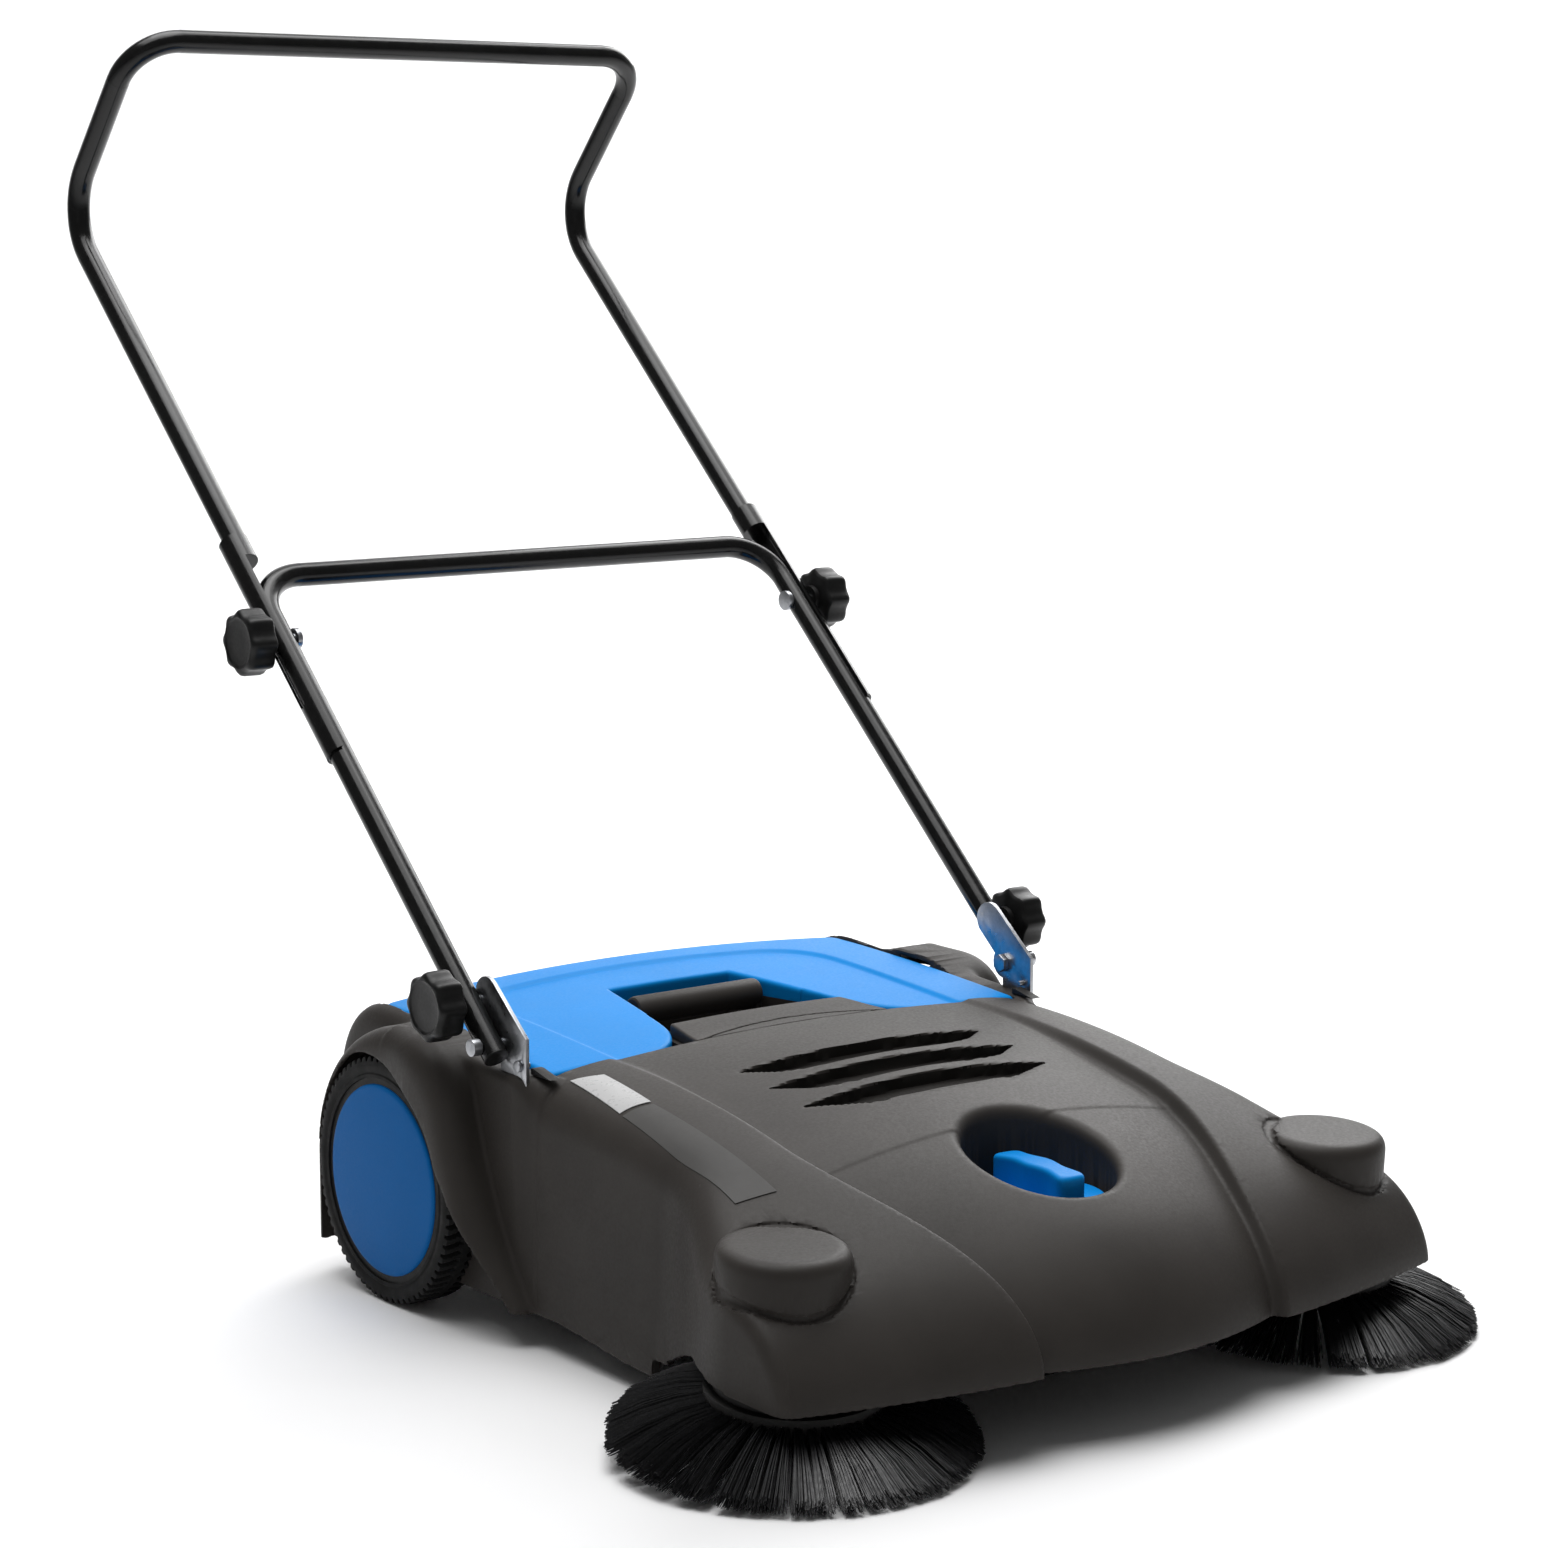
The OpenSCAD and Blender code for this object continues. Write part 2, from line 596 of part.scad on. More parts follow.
module low_stud(side) color("#b9bcc0") translate([0, y_shift, 0])
    leg_cyl(side * (leg_x - tube_r + 0.4), side * (leg_x + tube_r + 21), low_knob_at, bolt_r - fit);

module mid_knob(side) color("#1b1b1b")
    translate([0, y_shift, 0]) star_head(leg_x + saddle_r + 4.6, mid_knob_at, side);

// --- wheels --------------------------------------------------------------------------------

module tyre(side) color("#232221") translate([0, y_shift, 0]) mirror([side < 0 ? 1 : 0, 0, 0])
    translate([wheel_in, 0, wheel_r]) rotate([0, 90, 0]) difference() {
        union() {
            linear_extrude(height = tyre_w) polygon([for (i = [0 : tread_lugs - 1])
                for (p = [[0, 1], [0.5, 1], [0.6, 0], [0.9, 0]])
                let (a = (i + p[0]) * 360 / tread_lugs,
                    r = wheel_r - lug_h + lug_h * p[1]) [r * cos(a), r * sin(a)]]);
            translate([0, 0, tyre_w / 2 - 5]) cylinder(r = wheel_r - 1, h = 10, $fn = 96);
        }
        translate([0, 0, -1]) cylinder(r = rim_r, h = tyre_w + 2, $fn = 96);
    }

module rim(side) color("#2c2b2a") translate([0, y_shift, 0]) mirror([side < 0 ? 1 : 0, 0, 0])
    translate([0, 0, wheel_r]) rotate([0, 90, 0]) difference() {
        union() {
            translate([0, 0, wheel_in + 1]) cylinder(r = rim_r, h = tyre_w - 3, $fn = 96);
            translate([0, 0, gear_in]) linear_extrude(height = gear_w) rotate(mesh_angle)
                gear_outline(wheel_teeth, 0.06);
            translate([0, 0, gear_in + gear_w - 1]) cylinder(r = 60, h = 8, $fn = 96);
        }
        translate([0, 0, wheel_in + 12]) difference() {
            cylinder(r = rim_r - 5, h = 60, $fn = 96);
            cylinder(r = 15, h = 7, $fn = 64);
        }
        translate([0, 0, gear_in - 1]) difference() {
            cylinder(r = 55, h = 15, $fn = 96);
            cylinder(r = 15, h = 20, $fn = 64);
        }
        translate([0, 0, 200]) cylinder(r = axle_r + fit, h = 80, $fn = 64);
    }

module hubcap(side) color("#0d6fc4") translate([0, y_shift, 0]) mirror([side < 0 ? 1 : 0, 0, 0])
    translate([wheel_out, 0, wheel_r]) rotate([0, 90, 0]) rotate_extrude($fn = 96) polygon(concat(
        [for (i = [0 : 10]) [hub_r * sin(9 * i) , 2.2 * cos(9 * i)]],
        [[hub_r, -1.5], [hub_r - 1, -2.8], [rim_r - 5.2, -2.8], [rim_r - 5.2, -10], [rim_r - 8,
            -10], [rim_r - 8, -2], [0, -0.6]]));

module wheel_clip(side) color("#b9bcc0")
    translate([0, y_shift, 0]) mirror([side < 0 ? 1 : 0, 0, 0]) difference() {
    x_cyl(wheel_out - 16.7, wheel_out - 14, 0, wheel_r, 10, 48);
    x_cyl(wheel_out - 20, wheel_out - 10, 0, wheel_r, axle_r, 64);
}

// --- sweeping roller -----------------------------------------------------------------------

module roller_core() color("#2c2b2a") translate([0, y_shift, 0]) {
    x_cyl(-roller_x, roller_x, roller_y, roller_z, 26, 64);
    x_cyl(-cheek_x - 10, cheek_x + 10, roller_y, roller_z, shaft_r, 48);
}

// Bristles in eight vanes round the core.
module roller_bristles() color("#1a1a1a")
    translate([-roller_x + 2, roller_y + y_shift, roller_z]) rotate([0, 90, 0])
    linear_extrude(height = 2 * roller_x - 4) difference() {
        union() {
            circle(r = 34, $fn = 64);
            intersection() {
                circle(r = roller_r, $fn = 96);
                for (i = [0 : 7]) rotate(45 * i + 20) translate([0, -7]) square([roller_r + 5, 14]);
            }
        }
        circle(r = 26, $fn = 64);
    }

module roller_pinion() color("#d8d8d2")
    translate([-gear_in - gear_w, roller_y + y_shift, roller_z]) rotate([0, 90, 0])
    difference() {
        linear_extrude(height = gear_w) rotate(mesh_angle + 180 + 180 / pinion_teeth)
            gear_outline(pinion_teeth, 0.25);
        translate([0, 0, -1]) cylinder(r = shaft_r, h = gear_w + 2, $fn = 48);
    }

// --- side brushes --------------------------------------------------------------------------

module brush_hub(side) color("#1f1e1e") translate([0, y_shift, 0]) place_brush(side) {
    translate([0, 0, hub_bottom]) cylinder(r = hub_disc_r, h = hub_top - hub_bottom - 4, $fn = 96);
    translate([0, 0, hub_top - 4.5]) cylinder(r = hub_disc_r - 6, h = 4.5, $fn = 96);
    translate([0, 0, hub_top - 1]) cylinder(r = 14, h = 3.7, $fn = 64);
    translate([0, 0, hub_top]) cylinder(r = shaft_r, h = 56, $fn = 48);
}

// Cone of bristles below and round the hub disc.
module brush_bristles(side) color("#141414") translate([0, y_shift, 0]) place_brush(side)
    rotate_extrude($fn = 96) polygon([[hub_disc_r - 16, hub_bottom], [hub_disc_r, hub_bottom],
        [hub_disc_r, hub_top - 8],
        [hub_disc_r + 5, hub_top - 9], [brush_r - 4, 11], [brush_r, 5], [brush_r, 0], [brush_r - 14, 0]]);

// Clip on top of the brush shaft, above its bush.
module brush_cap(side) color("#b9bcc0") translate([0, y_shift, 0]) place_brush(side) difference() {
    translate([0, 0, hub_top + 45 + gap]) cylinder(r = 10, h = 5, $fn = 48);
    translate([0, 0, hub_top]) cylinder(r = shaft_r, h = 80, $fn = 48);
}

// --- height adjustment ---------------------------------------------------------------------

module height_knob() color("#1d7fdc")
    translate([well[0], well[1] + y_shift, well_floor + gap]) difference() {
    union() {
        cylinder(r = disc_r, h = 7, $fn = 96);
        rotate(85.5) {
            translate([-30, -bar_w / 2, 6]) cube([60, bar_w, 24]);
            for (sx = [-1, 1]) translate([sx * 30, 0, 6]) cylinder(r = bar_w / 2, h = 24, $fn = 48);
        }
    }
    translate([0, 0, -1]) cylinder(r = spindle_r, h = 12, $fn = 48);
}

module height_spindle() color("#b9bcc0") translate([well[0], well[1] + y_shift, 0])
    translate([0, 0, well_floor - 36]) cylinder(r = spindle_r, h = 47, $fn = 48);

module support_fork() color("#3a3836") translate([well[0], well[1] + y_shift, 0]) difference() {
    union() {
        translate([0, 0, support_r + 30]) cylinder(r = 11, h = 9, $fn = 64);
        translate([-26, -15, support_r + 27]) cube([52, 30, 4]);
        for (sx = [-1, 1]) translate([sx * 24 - 2, -12, support_r - 8]) cube([4, 24, 36]);
    }
    x_cyl(-40, 40, 0, support_r, 4, 48);
}

module support_roller() color("#1c1c1c") translate([well[0], well[1] + y_shift, 0]) difference() {
    x_cyl(-21, 21, 0, support_r, support_r, 96);
    x_cyl(-40, 40, 0, support_r, 4 + fit, 48);
}

module support_pin() color("#b9bcc0")
    translate([well[0], well[1] + y_shift, 0]) x_cyl(-28, 28, 0, support_r, 4, 48);

main_housing();
front_floor();
cheek(-1);  // cheek_left
cheek(1);  // cheek_right
bracket(-1);  // bracket_left
bracket(1);  // bracket_right
bracket_screw(-1);  // bracket_screw_left
bracket_screw(1);  // bracket_screw_right
pivot_bolt(-1);  // pivot_bolt_left
pivot_bolt(1);  // pivot_bolt_right
slot_flap(-1);  // slot_flap_left
slot_flap(1);  // slot_flap_right
axle(-1);  // axle_left
axle(1);  // axle_right
roller_bush(-1);  // roller_bush_left
roller_bush(1);  // roller_bush_right
brush_bush(-1);  // brush_bush_left
brush_bush(1);  // brush_bush_right
blank_label();
guide_sleeve();
hopper_bin();
hopper_lid();
hopper_panel();
carry_handle();
lower_frame();
leg_plug(-1);  // leg_plug_left
leg_plug(1);  // leg_plug_right
mid_bolt(-1);  // mid_bolt_left
mid_bolt(1);  // mid_bolt_right
upper_handle();
low_knob(-1);  // low_knob_left
low_knob(1);  // low_knob_right
low_stud(-1);  // low_stud_left
low_stud(1);  // low_stud_right
mid_knob(-1);  // mid_knob_left
mid_knob(1);  // mid_knob_right
tyre(-1);  // tyre_left
tyre(1);  // tyre_right
rim(-1);  // rim_left
rim(1);  // rim_right
hubcap(-1);  // hubcap_left
hubcap(1);  // hubcap_right
wheel_clip(-1);  // wheel_clip_left
wheel_clip(1);  // wheel_clip_right
roller_core();
roller_bristles();
roller_pinion();
brush_hub(-1);  // brush_hub_left
brush_hub(1);  // brush_hub_right
brush_bristles(-1);  // brush_bristles_left
brush_bristles(1);  // brush_bristles_right
brush_cap(-1);  // brush_cap_left
brush_cap(1);  // brush_cap_right
height_knob();
height_spindle();
support_fork();
support_roller();
support_pin();
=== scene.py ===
"""Looks for the hand-push floor sweeper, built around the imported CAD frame."""
import json
import math

import bmesh
import bpy
import numpy as np
from mathutils import Matrix, Vector


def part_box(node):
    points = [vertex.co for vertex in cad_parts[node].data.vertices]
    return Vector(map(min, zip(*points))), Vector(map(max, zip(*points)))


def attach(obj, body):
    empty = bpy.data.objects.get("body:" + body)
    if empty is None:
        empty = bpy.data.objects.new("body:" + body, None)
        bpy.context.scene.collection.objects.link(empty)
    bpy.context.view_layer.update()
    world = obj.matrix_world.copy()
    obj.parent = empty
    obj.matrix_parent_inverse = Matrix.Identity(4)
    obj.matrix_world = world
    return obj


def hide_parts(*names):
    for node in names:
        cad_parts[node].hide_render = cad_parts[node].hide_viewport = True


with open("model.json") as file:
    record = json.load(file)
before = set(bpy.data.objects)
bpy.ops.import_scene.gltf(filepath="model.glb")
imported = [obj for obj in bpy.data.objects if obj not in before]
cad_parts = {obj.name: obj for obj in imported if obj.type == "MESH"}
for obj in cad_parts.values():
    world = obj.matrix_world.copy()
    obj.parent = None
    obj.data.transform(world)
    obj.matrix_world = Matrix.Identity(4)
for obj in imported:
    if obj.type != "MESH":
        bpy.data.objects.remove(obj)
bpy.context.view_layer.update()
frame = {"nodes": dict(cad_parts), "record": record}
NODES = frame["nodes"]
SUBPARTS = frame["record"]["subparts"]
BODY_OF = {node: body for body, nodes in frame["record"]["behaviour"]["bodies"].items()
           for node in nodes}
SLOT_OF = {part["node"]: part["material_slot"] for part in SUBPARTS}
SIDES = ((-1, "left"), (1, "right"))
MM = 0.001
TAU = 2 * math.pi

# The working frame of this script is in millimetres, with the wheel axle over y = 0, the floor
# at z = 0 and the nose towards -y. AXLE_Y is where the axle lies in the row's own frame.
AXLE_Y = sum(corner[1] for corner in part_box("rim_left")) / 2 / MM
WHEEL_R = 90.0

# The handle folds about PIVOT, and its legs run along LEG.
PIVOT = np.array([0.0, -111.0, 206.0])
LEG_ANGLE = math.radians(43)
LEG = np.array([0.0, math.cos(LEG_ANGLE), math.sin(LEG_ANGLE)])

# The right side brush turns about BRUSH, tilted to the front and leaning outward, in degrees, so
# that its lowest bristles clear the floor by BRUSH_GAP.
BRUSH_TILT = 4.0
BRUSH_LEAN = 1.0
BRUSH_R = 122.6
BRUSH_GAP = 0.3
BRUSH_DROP = BRUSH_R * math.sin(math.radians(math.hypot(BRUSH_TILT, BRUSH_LEAN)))
BRUSH = np.array([227.4, -437.3, BRUSH_DROP + BRUSH_GAP])

# Edges that bend less than this, in degrees, are shaded smooth.
CAD_SMOOTH = 35
FIELD_SMOOTH = 38


def to_row(points):
    """Working millimetres to row metres."""
    return (np.asarray(points, float) + [0, AXLE_Y, 0]) * MM


def circle(steps):
    """Angles of that many even steps round a circle."""
    return np.arange(steps) * TAU / steps


# --- implicit surfaces ---------------------------------------------------------------------
# A field is negative inside a solid and close to a distance in millimetres near its surface.


def smin(a, b, k):
    """The union of two fields, with a fillet of about k."""
    h = np.clip(0.5 + 0.5 * (b - a) / k, 0, 1)
    return b + (a - b) * h - k * h * (1 - h)


def smax(a, b, k):
    """The intersection of two fields, with a rounding of about k."""
    return -smin(-a, -b, k)


def ramp(x, a, b):
    """Smooth step from 0 at a to 1 at b."""
    t = np.clip((x - a) / (b - a), 0, 1)
    return t * t * (3 - 2 * t)


def surface_net(field, low, high, cell):
    """Quad mesh of field = 0 inside a box, with its points pulled onto the exact surface. The
    field is symmetric in x, so it is sampled on one half and mirrored."""
    nx = int(math.ceil(high[0] / cell)) + 1
    xs = (np.arange(nx) + 0.5) * cell
    ys = np.arange(low[1], high[1] + cell, cell)
    zs = np.arange(low[2], high[2] + cell, cell)
    grid = field(xs[:, None, None].astype(np.float32), ys[None, :, None].astype(np.float32),
                 zs[None, None, :].astype(np.float32))
    grid = np.concatenate([grid[::-1], grid], axis=0)
    xs = np.concatenate([-xs[::-1], xs])
    inside = grid < 0
    corner_sum = np.zeros(tuple(n - 1 for n in grid.shape), np.int8)
    for dx in (0, 1):
        for dy in (0, 1):
            for dz in (0, 1):
                corner_sum += inside[dx:inside.shape[0] - 1 + dx, dy:inside.shape[1] - 1 + dy,
                                     dz:inside.shape[2] - 1 + dz]
    active = (corner_sum > 0) & (corner_sum < 8)
    index = np.full(active.shape, -1, np.int64)
    cells = np.argwhere(active)
    index[active] = np.arange(len(cells))
    points = cell_points(grid, cells)
    points = np.stack([xs[0] + points[:, 0] * cell, ys[0] + points[:, 1] * cell,
                       zs[0] + points[:, 2] * cell], 1)
    quads = cell_quads(inside, index)
    return pull_to_surface(field, points, quads, cell), quads


def cell_points(grid, cells):
    """The mean of the points where the surface crosses each cell's edges, in cells."""
    points = np.zeros((len(cells), 3))
    counts = np.zeros(len(cells))
    i, j, k = cells.T
    for axis in range(3):
        others = [a for a in range(3) if a != axis]
        for da in (0, 1):
            for db in (0, 1):
                at = [i, j, k]
                at[others[0]] = at[others[0]] + da
                at[others[1]] = at[others[1]] + db
                far = list(at)
                far[axis] = far[axis] + 1
                f0, f1 = grid[tuple(at)], grid[tuple(far)]
                cross = (f0 < 0) != (f1 < 0)
                t = np.where(cross, f0 / np.where(cross, f0 - f1, 1), 0)
                crossing = np.stack(at, 1).astype(float)
                crossing[:, axis] += t
                points[cross] += crossing[cross]
                counts += cross
    return points / counts[:, None]


def cell_quads(inside, index):
    """One quad round each grid edge that the surface crosses, facing outward."""
    quads = []
    for axis in range(3):
        u, v = (axis + 1) % 3, (axis + 2) % 3
        size = list(inside.shape)
        here = [slice(0, n) for n in size]
        there = [slice(0, n) for n in size]
        here[axis], there[axis] = slice(0, size[axis] - 1), slice(1, size[axis])
        for a in (u, v):
            here[a] = there[a] = slice(1, size[a] - 1)
        f0, f1 = inside[tuple(here)], inside[tuple(there)]
        for flip, mask in ((False, f0 & ~f1), (True, ~f0 & f1)):
            at = np.argwhere(mask)
            at[:, u] += 1
            at[:, v] += 1
            ring = []
            for du, dv in ((-1, -1), (0, -1), (0, 0), (-1, 0)):
                q = at.copy()
                q[:, u] += du
                q[:, v] += dv
                ring.append(index[q[:, 0], q[:, 1], q[:, 2]])
            ring = np.stack(ring, 1)
            quads.append(ring[:, ::-1] if flip else ring)
    return np.concatenate(quads)


def pull_to_surface(field, points, quads, cell):
    """Even out the points, then move each one along the field's slope onto the surface."""
    links = np.concatenate([quads[:, (a, (a + 1) % 4)] for a in range(4)])
    degree = np.maximum(np.bincount(links[:, 0], minlength=len(points)), 1)[:, None]
    step = 0.05
    least_slope = 0.05
    longest_move = 0.6 * cell
    for relax in (0.6, 0.5, 0, 0):
        if relax:
            around = np.stack([np.bincount(links[:, 0], points[links[:, 1], a], len(points))
                               for a in range(3)], 1)
            points += relax * (around / degree - points)
        value = field(*points.T)
        slope = np.stack([(field(*(points + d).T) - field(*(points - d).T)) / (2 * step)
                          for d in np.eye(3) * step], 1)
        move = slope * (value / np.maximum((slope ** 2).sum(1), least_slope))[:, None]
        length = np.linalg.norm(move, axis=1)
        points -= move * np.minimum(1, longest_move / np.maximum(length, 1e-9))[:, None]
    return points


# --- mesh helpers --------------------------------------------------------------------------


def add_object(name, data):
    """Put new data into the scene as an object."""
    obj = bpy.data.objects.new(name, data)
    bpy.context.scene.collection.objects.link(obj)
    return obj


def make_object(name, points, faces, material, smooth=40, row=False):
    """Mesh object from working points, or from row metres where row says so. smooth is the
    angle for smooth shading, and 0 leaves the shading for later."""
    mesh = bpy.data.meshes.new(name)
    points = points if row else to_row(points)
    mesh.from_pydata(points.tolist(), [], [list(map(int, f)) for f in faces])
    mesh.validate()
    obj = add_object(name, mesh)
    obj.data.materials.append(material)
    if smooth:
        shade(obj, smooth)
    return obj


def from_bmesh(name, mesh, material):
    """Turn a finished bmesh into an object."""
    data = bpy.data.meshes.new(name)
    mesh.to_mesh(data)
    mesh.free()
    obj = add_object(name, data)
    data.materials.append(material)
    shade(obj, CAD_SMOOTH)
    return obj


def shade(obj, angle):
    """Shade smooth, but for edges that bend more than angle, in degrees."""
    bpy.context.view_layer.objects.active = obj
    for other in bpy.context.selected_objects:
        other.select_set(False)
    obj.select_set(True)
    bpy.ops.object.shade_smooth_by_angle(angle=math.radians(angle))


def thin_out(obj, faces):
    """Decimate to about that many triangles."""
    now = sum(len(p.vertices) - 2 for p in obj.data.polygons)
    if now > faces:
        mod = obj.modifiers.new("thin", "DECIMATE")
        mod.ratio = faces / now
        bpy.context.view_layer.objects.active = obj
        bpy.ops.object.modifier_apply(modifier=mod.name)


def fix_normals(obj):
    """Turn all faces of a closed piece outward."""
    mesh = bmesh.new()
    mesh.from_mesh(obj.data)
    bmesh.ops.recalc_face_normals(mesh, faces=mesh.faces)
    mesh.to_mesh(obj.data)
    mesh.free()


def grid_faces(rows, columns, wrap_rows=False, wrap_columns=False):
    """Quads between the points of a grid that is stored row by row."""
    faces = []
    for i in range(rows if wrap_rows else rows - 1):
        for j in range(columns if wrap_columns else columns - 1):
            a, b = i * columns, ((i + 1) % rows) * columns
            k = (j + 1) % columns
            faces.append((a + j, a + k, b + k, b + j))
    return faces


def end_caps(rows, columns):
    """The two faces that close a tube of rings at its first and last ring."""
    return [tuple(range(columns)), tuple(range((rows - 1) * columns, rows * columns))]


def lathe(name, profile, centre, material, steps=96, smooth=35):
    """Turn a profile of (x, radius) round an axis along X through centre."""
    angles = circle(steps)
    x, r = profile[:, 0][:, None], profile[:, 1][:, None]
    points = np.stack([x + 0 * angles, r * np.cos(angles), r * np.sin(angles)], -1)
    faces = grid_faces(len(profile), steps, wrap_columns=True) + end_caps(len(profile), steps)
    obj = make_object(name, points.reshape(-1, 3) + centre, faces, material, smooth)
    fix_normals(obj)
    return obj


def beveled_box(name, centre, size, bevel, material):
    """Box with rounded edges, in working millimetres."""
    mesh = bmesh.new()
    bmesh.ops.create_cube(mesh, size=1)
    for vert in mesh.verts:
        place = [c + v * s for c, v, s in zip(centre, vert.co, size)]
        vert.co = Vector(to_row([place])[0])
    bmesh.ops.bevel(mesh, geom=mesh.edges[:], offset=bevel * MM, segments=3, profile=0.7,
                    affect="EDGES")
    return from_bmesh(name, mesh, material)


def fit_in(obj, *nodes):
    """Ride the piece with the nodes' body and let it stand for them."""
    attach(obj, BODY_OF[nodes[0]])
    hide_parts(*nodes)


# --- materials -----------------------------------------------------------------------------


class Nodes:
    """Short names for building a material's node tree."""

    def __init__(self, name):
        self.material = bpy.data.materials.new(name)
        self.material.use_nodes = True
        self.tree = self.material.node_tree
        self.tree.nodes.clear()
        self.out = self.tree.nodes.new("ShaderNodeOutputMaterial")
        self.shader = self.tree.nodes.new("ShaderNodeBsdfPrincipled")
        self.link(self.shader.outputs[0], self.out.inputs["Surface"])
        self.coord = self.tree.nodes.new("ShaderNodeTexCoord").outputs["Object"]

    def link(self, a, b):
        self.tree.links.new(a, b)

    def drive(self, socket, source):
        """Let a node's output set one of the shader's sockets."""
        self.link(source, self.shader.inputs[socket])

    def fix(self, socket, value):
        self.shader.inputs[socket].default_value = value

    def noise(self, scale, detail=3, rough=0.55, stretch=None):
        node = self.tree.nodes.new("ShaderNodeTexNoise")
        node.inputs["Scale"].default_value = scale
        node.inputs["Detail"].default_value = detail
        node.inputs["Roughness"].default_value = rough
        source = self.coord
        if stretch:
            mapping = self.tree.nodes.new("ShaderNodeMapping")
            mapping.inputs["Scale"].default_value = stretch
            self.link(self.coord, mapping.inputs["Vector"])
            source = mapping.outputs[0]
        self.link(source, node.inputs["Vector"])
        return node.outputs["Fac"]

    def ramp(self, source, *stops):
        """Colours, or plain values, at places along the source."""
        node = self.tree.nodes.new("ShaderNodeValToRGB")
        for element, (place, colour) in zip(node.color_ramp.elements, stops):
            element.position = place
            element.color = (*((colour,) * 3 if isinstance(colour, float) else colour), 1)
        self.link(source, node.inputs["Fac"])
        return node.outputs["Color"]

    def bump(self, source, strength, distance):
        node = self.tree.nodes.new("ShaderNodeBump")
        node.inputs["Strength"].default_value = strength
        node.inputs["Distance"].default_value = distance
        self.link(source, node.inputs["Height"])
        return node.outputs["Normal"]


def shade_of(colour, factor):
    """The colour, darker or lighter by factor."""
    return tuple(c * factor for c in colour)


def moulded(name, colour, rough, grain=900.0, depth=0.00006, cloud=0.12, specular=0.5):
    """Moulded plastic: a fine leathery grain, faint cloudy flow marks and an uneven sheen. grain
    is the noise's scale and depth its height in metres, and cloud is how strong the marks are."""
    n = Nodes(name)
    n.drive("Base Color", n.ramp(n.noise(9.0, 4), (0.3, shade_of(colour, 1 - cloud)),
                                 (0.7, shade_of(colour, 1 + cloud))))
    n.drive("Roughness", n.ramp(n.noise(grain * 0.4, 3), (0.3, rough - 0.06), (0.7, rough + 0.06)))
    n.drive("Normal", n.bump(n.noise(grain, 2), 0.35, depth))
    n.fix("Specular IOR Level", specular)
    return n.material


def painted(name, colour, rough):
    """Powder-coated steel: gloss with a slight orange peel."""
    n = Nodes(name)
    n.drive("Base Color", n.ramp(n.noise(60.0, 3), (0.35, shade_of(colour, 0.8)),
                                 (0.7, shade_of(colour, 1.3))))
    n.drive("Roughness", n.ramp(n.noise(240.0, 2), (0.35, rough - 0.05), (0.7, rough + 0.07)))
    n.drive("Normal", n.bump(n.noise(420.0, 2), 0.2, 0.00005))
    n.fix("Coat Weight", 0.15)
    n.fix("Specular IOR Level", 0.3)
    n.fix("Coat Roughness", 0.12)
    return n.material


def zinc(name):
    """Zinc-plated steel: brushed streaks and a faint spangle."""
    n = Nodes(name)
    n.drive("Base Color", n.ramp(n.noise(70.0, 4, 0.7), (0.3, (0.30, 0.31, 0.33)),
                                 (0.7, (0.50, 0.51, 0.53))))
    n.drive("Roughness", n.ramp(n.noise(160.0, 3), (0.3, 0.26), (0.7, 0.42)))
    n.drive("Normal", n.bump(n.noise(300.0, 2, stretch=(1, 1, 6)), 0.25, 0.00008))
    n.fix("Metallic", 1.0)
    return n.material


def rubber(name, colour):
    """Dull rubber with a coarse, dusty mottle."""
    n = Nodes(name)
    n.drive("Base Color", n.ramp(n.noise(30.0, 4), (0.3, shade_of(colour, 0.75)),
                                 (0.7, shade_of(colour, 1.35))))
    n.drive("Roughness", n.ramp(n.noise(120.0, 3), (0.3, 0.62), (0.7, 0.8)))
    n.drive("Normal", n.bump(n.noise(500.0, 2), 0.4, 0.0001))
    n.fix("Specular IOR Level", 0.2)
    return n.material


def filament(name, colour):
    """Bristles: each strand's own tone comes from its place, with a soft shine."""
    n = Nodes(name)
    n.drive("Base Color", n.ramp(n.noise(420.0, 2), (0.3, shade_of(colour, 0.45)),
                                 (0.72, shade_of(colour, 2.2))))
    n.drive("Roughness", n.ramp(n.noise(260.0, 2), (0.3, 0.34), (0.7, 0.55)))
    return n.material


HOUSING = moulded("housing plastic", (0.037, 0.033, 0.030), 0.5,
                  grain=1100.0, depth=0.00012, cloud=0.16, specular=0.15)
# Darker plastic for the vents' sunk faces: painted shade in the recesses.
VENT_SHADE = moulded("vent painted shade", (0.017, 0.0155, 0.014), 0.7, specular=0.1)
DARK = moulded("dark plastic", (0.014, 0.0135, 0.013), 0.55, specular=0.2)
BLUE = moulded("blue plastic", (0.002, 0.22, 0.62), 0.42,
               grain=1300.0, depth=0.00004, cloud=0.05, specular=0.08)
KNOB_BLACK = moulded("knob plastic", (0.006, 0.006, 0.006), 0.4,
                     grain=1000.0, depth=0.0001, specular=0.25)
BEARING = moulded("bearing plastic", (0.62, 0.62, 0.58), 0.4)
LABEL = moulded("label film", (0.072, 0.070, 0.068), 0.45,
                grain=600.0, depth=0.00002, specular=0.1)
LABEL_PLATE = moulded("label plate", (0.42, 0.42, 0.42), 0.3, grain=600.0, depth=0.00002)
HUB_BLUE = moulded("hub blue plastic", (0.0003, 0.11, 0.36), 0.5,
                   grain=1300.0, depth=0.00004, cloud=0.05, specular=0.08)
TUBE = painted("black tube", (0.004, 0.004, 0.004), 0.2)
ZINC = zinc("zinc steel")
TYRE = rubber("tyre rubber", (0.008, 0.008, 0.008))
BRISTLE = filament("bristle", (0.008, 0.008, 0.009))

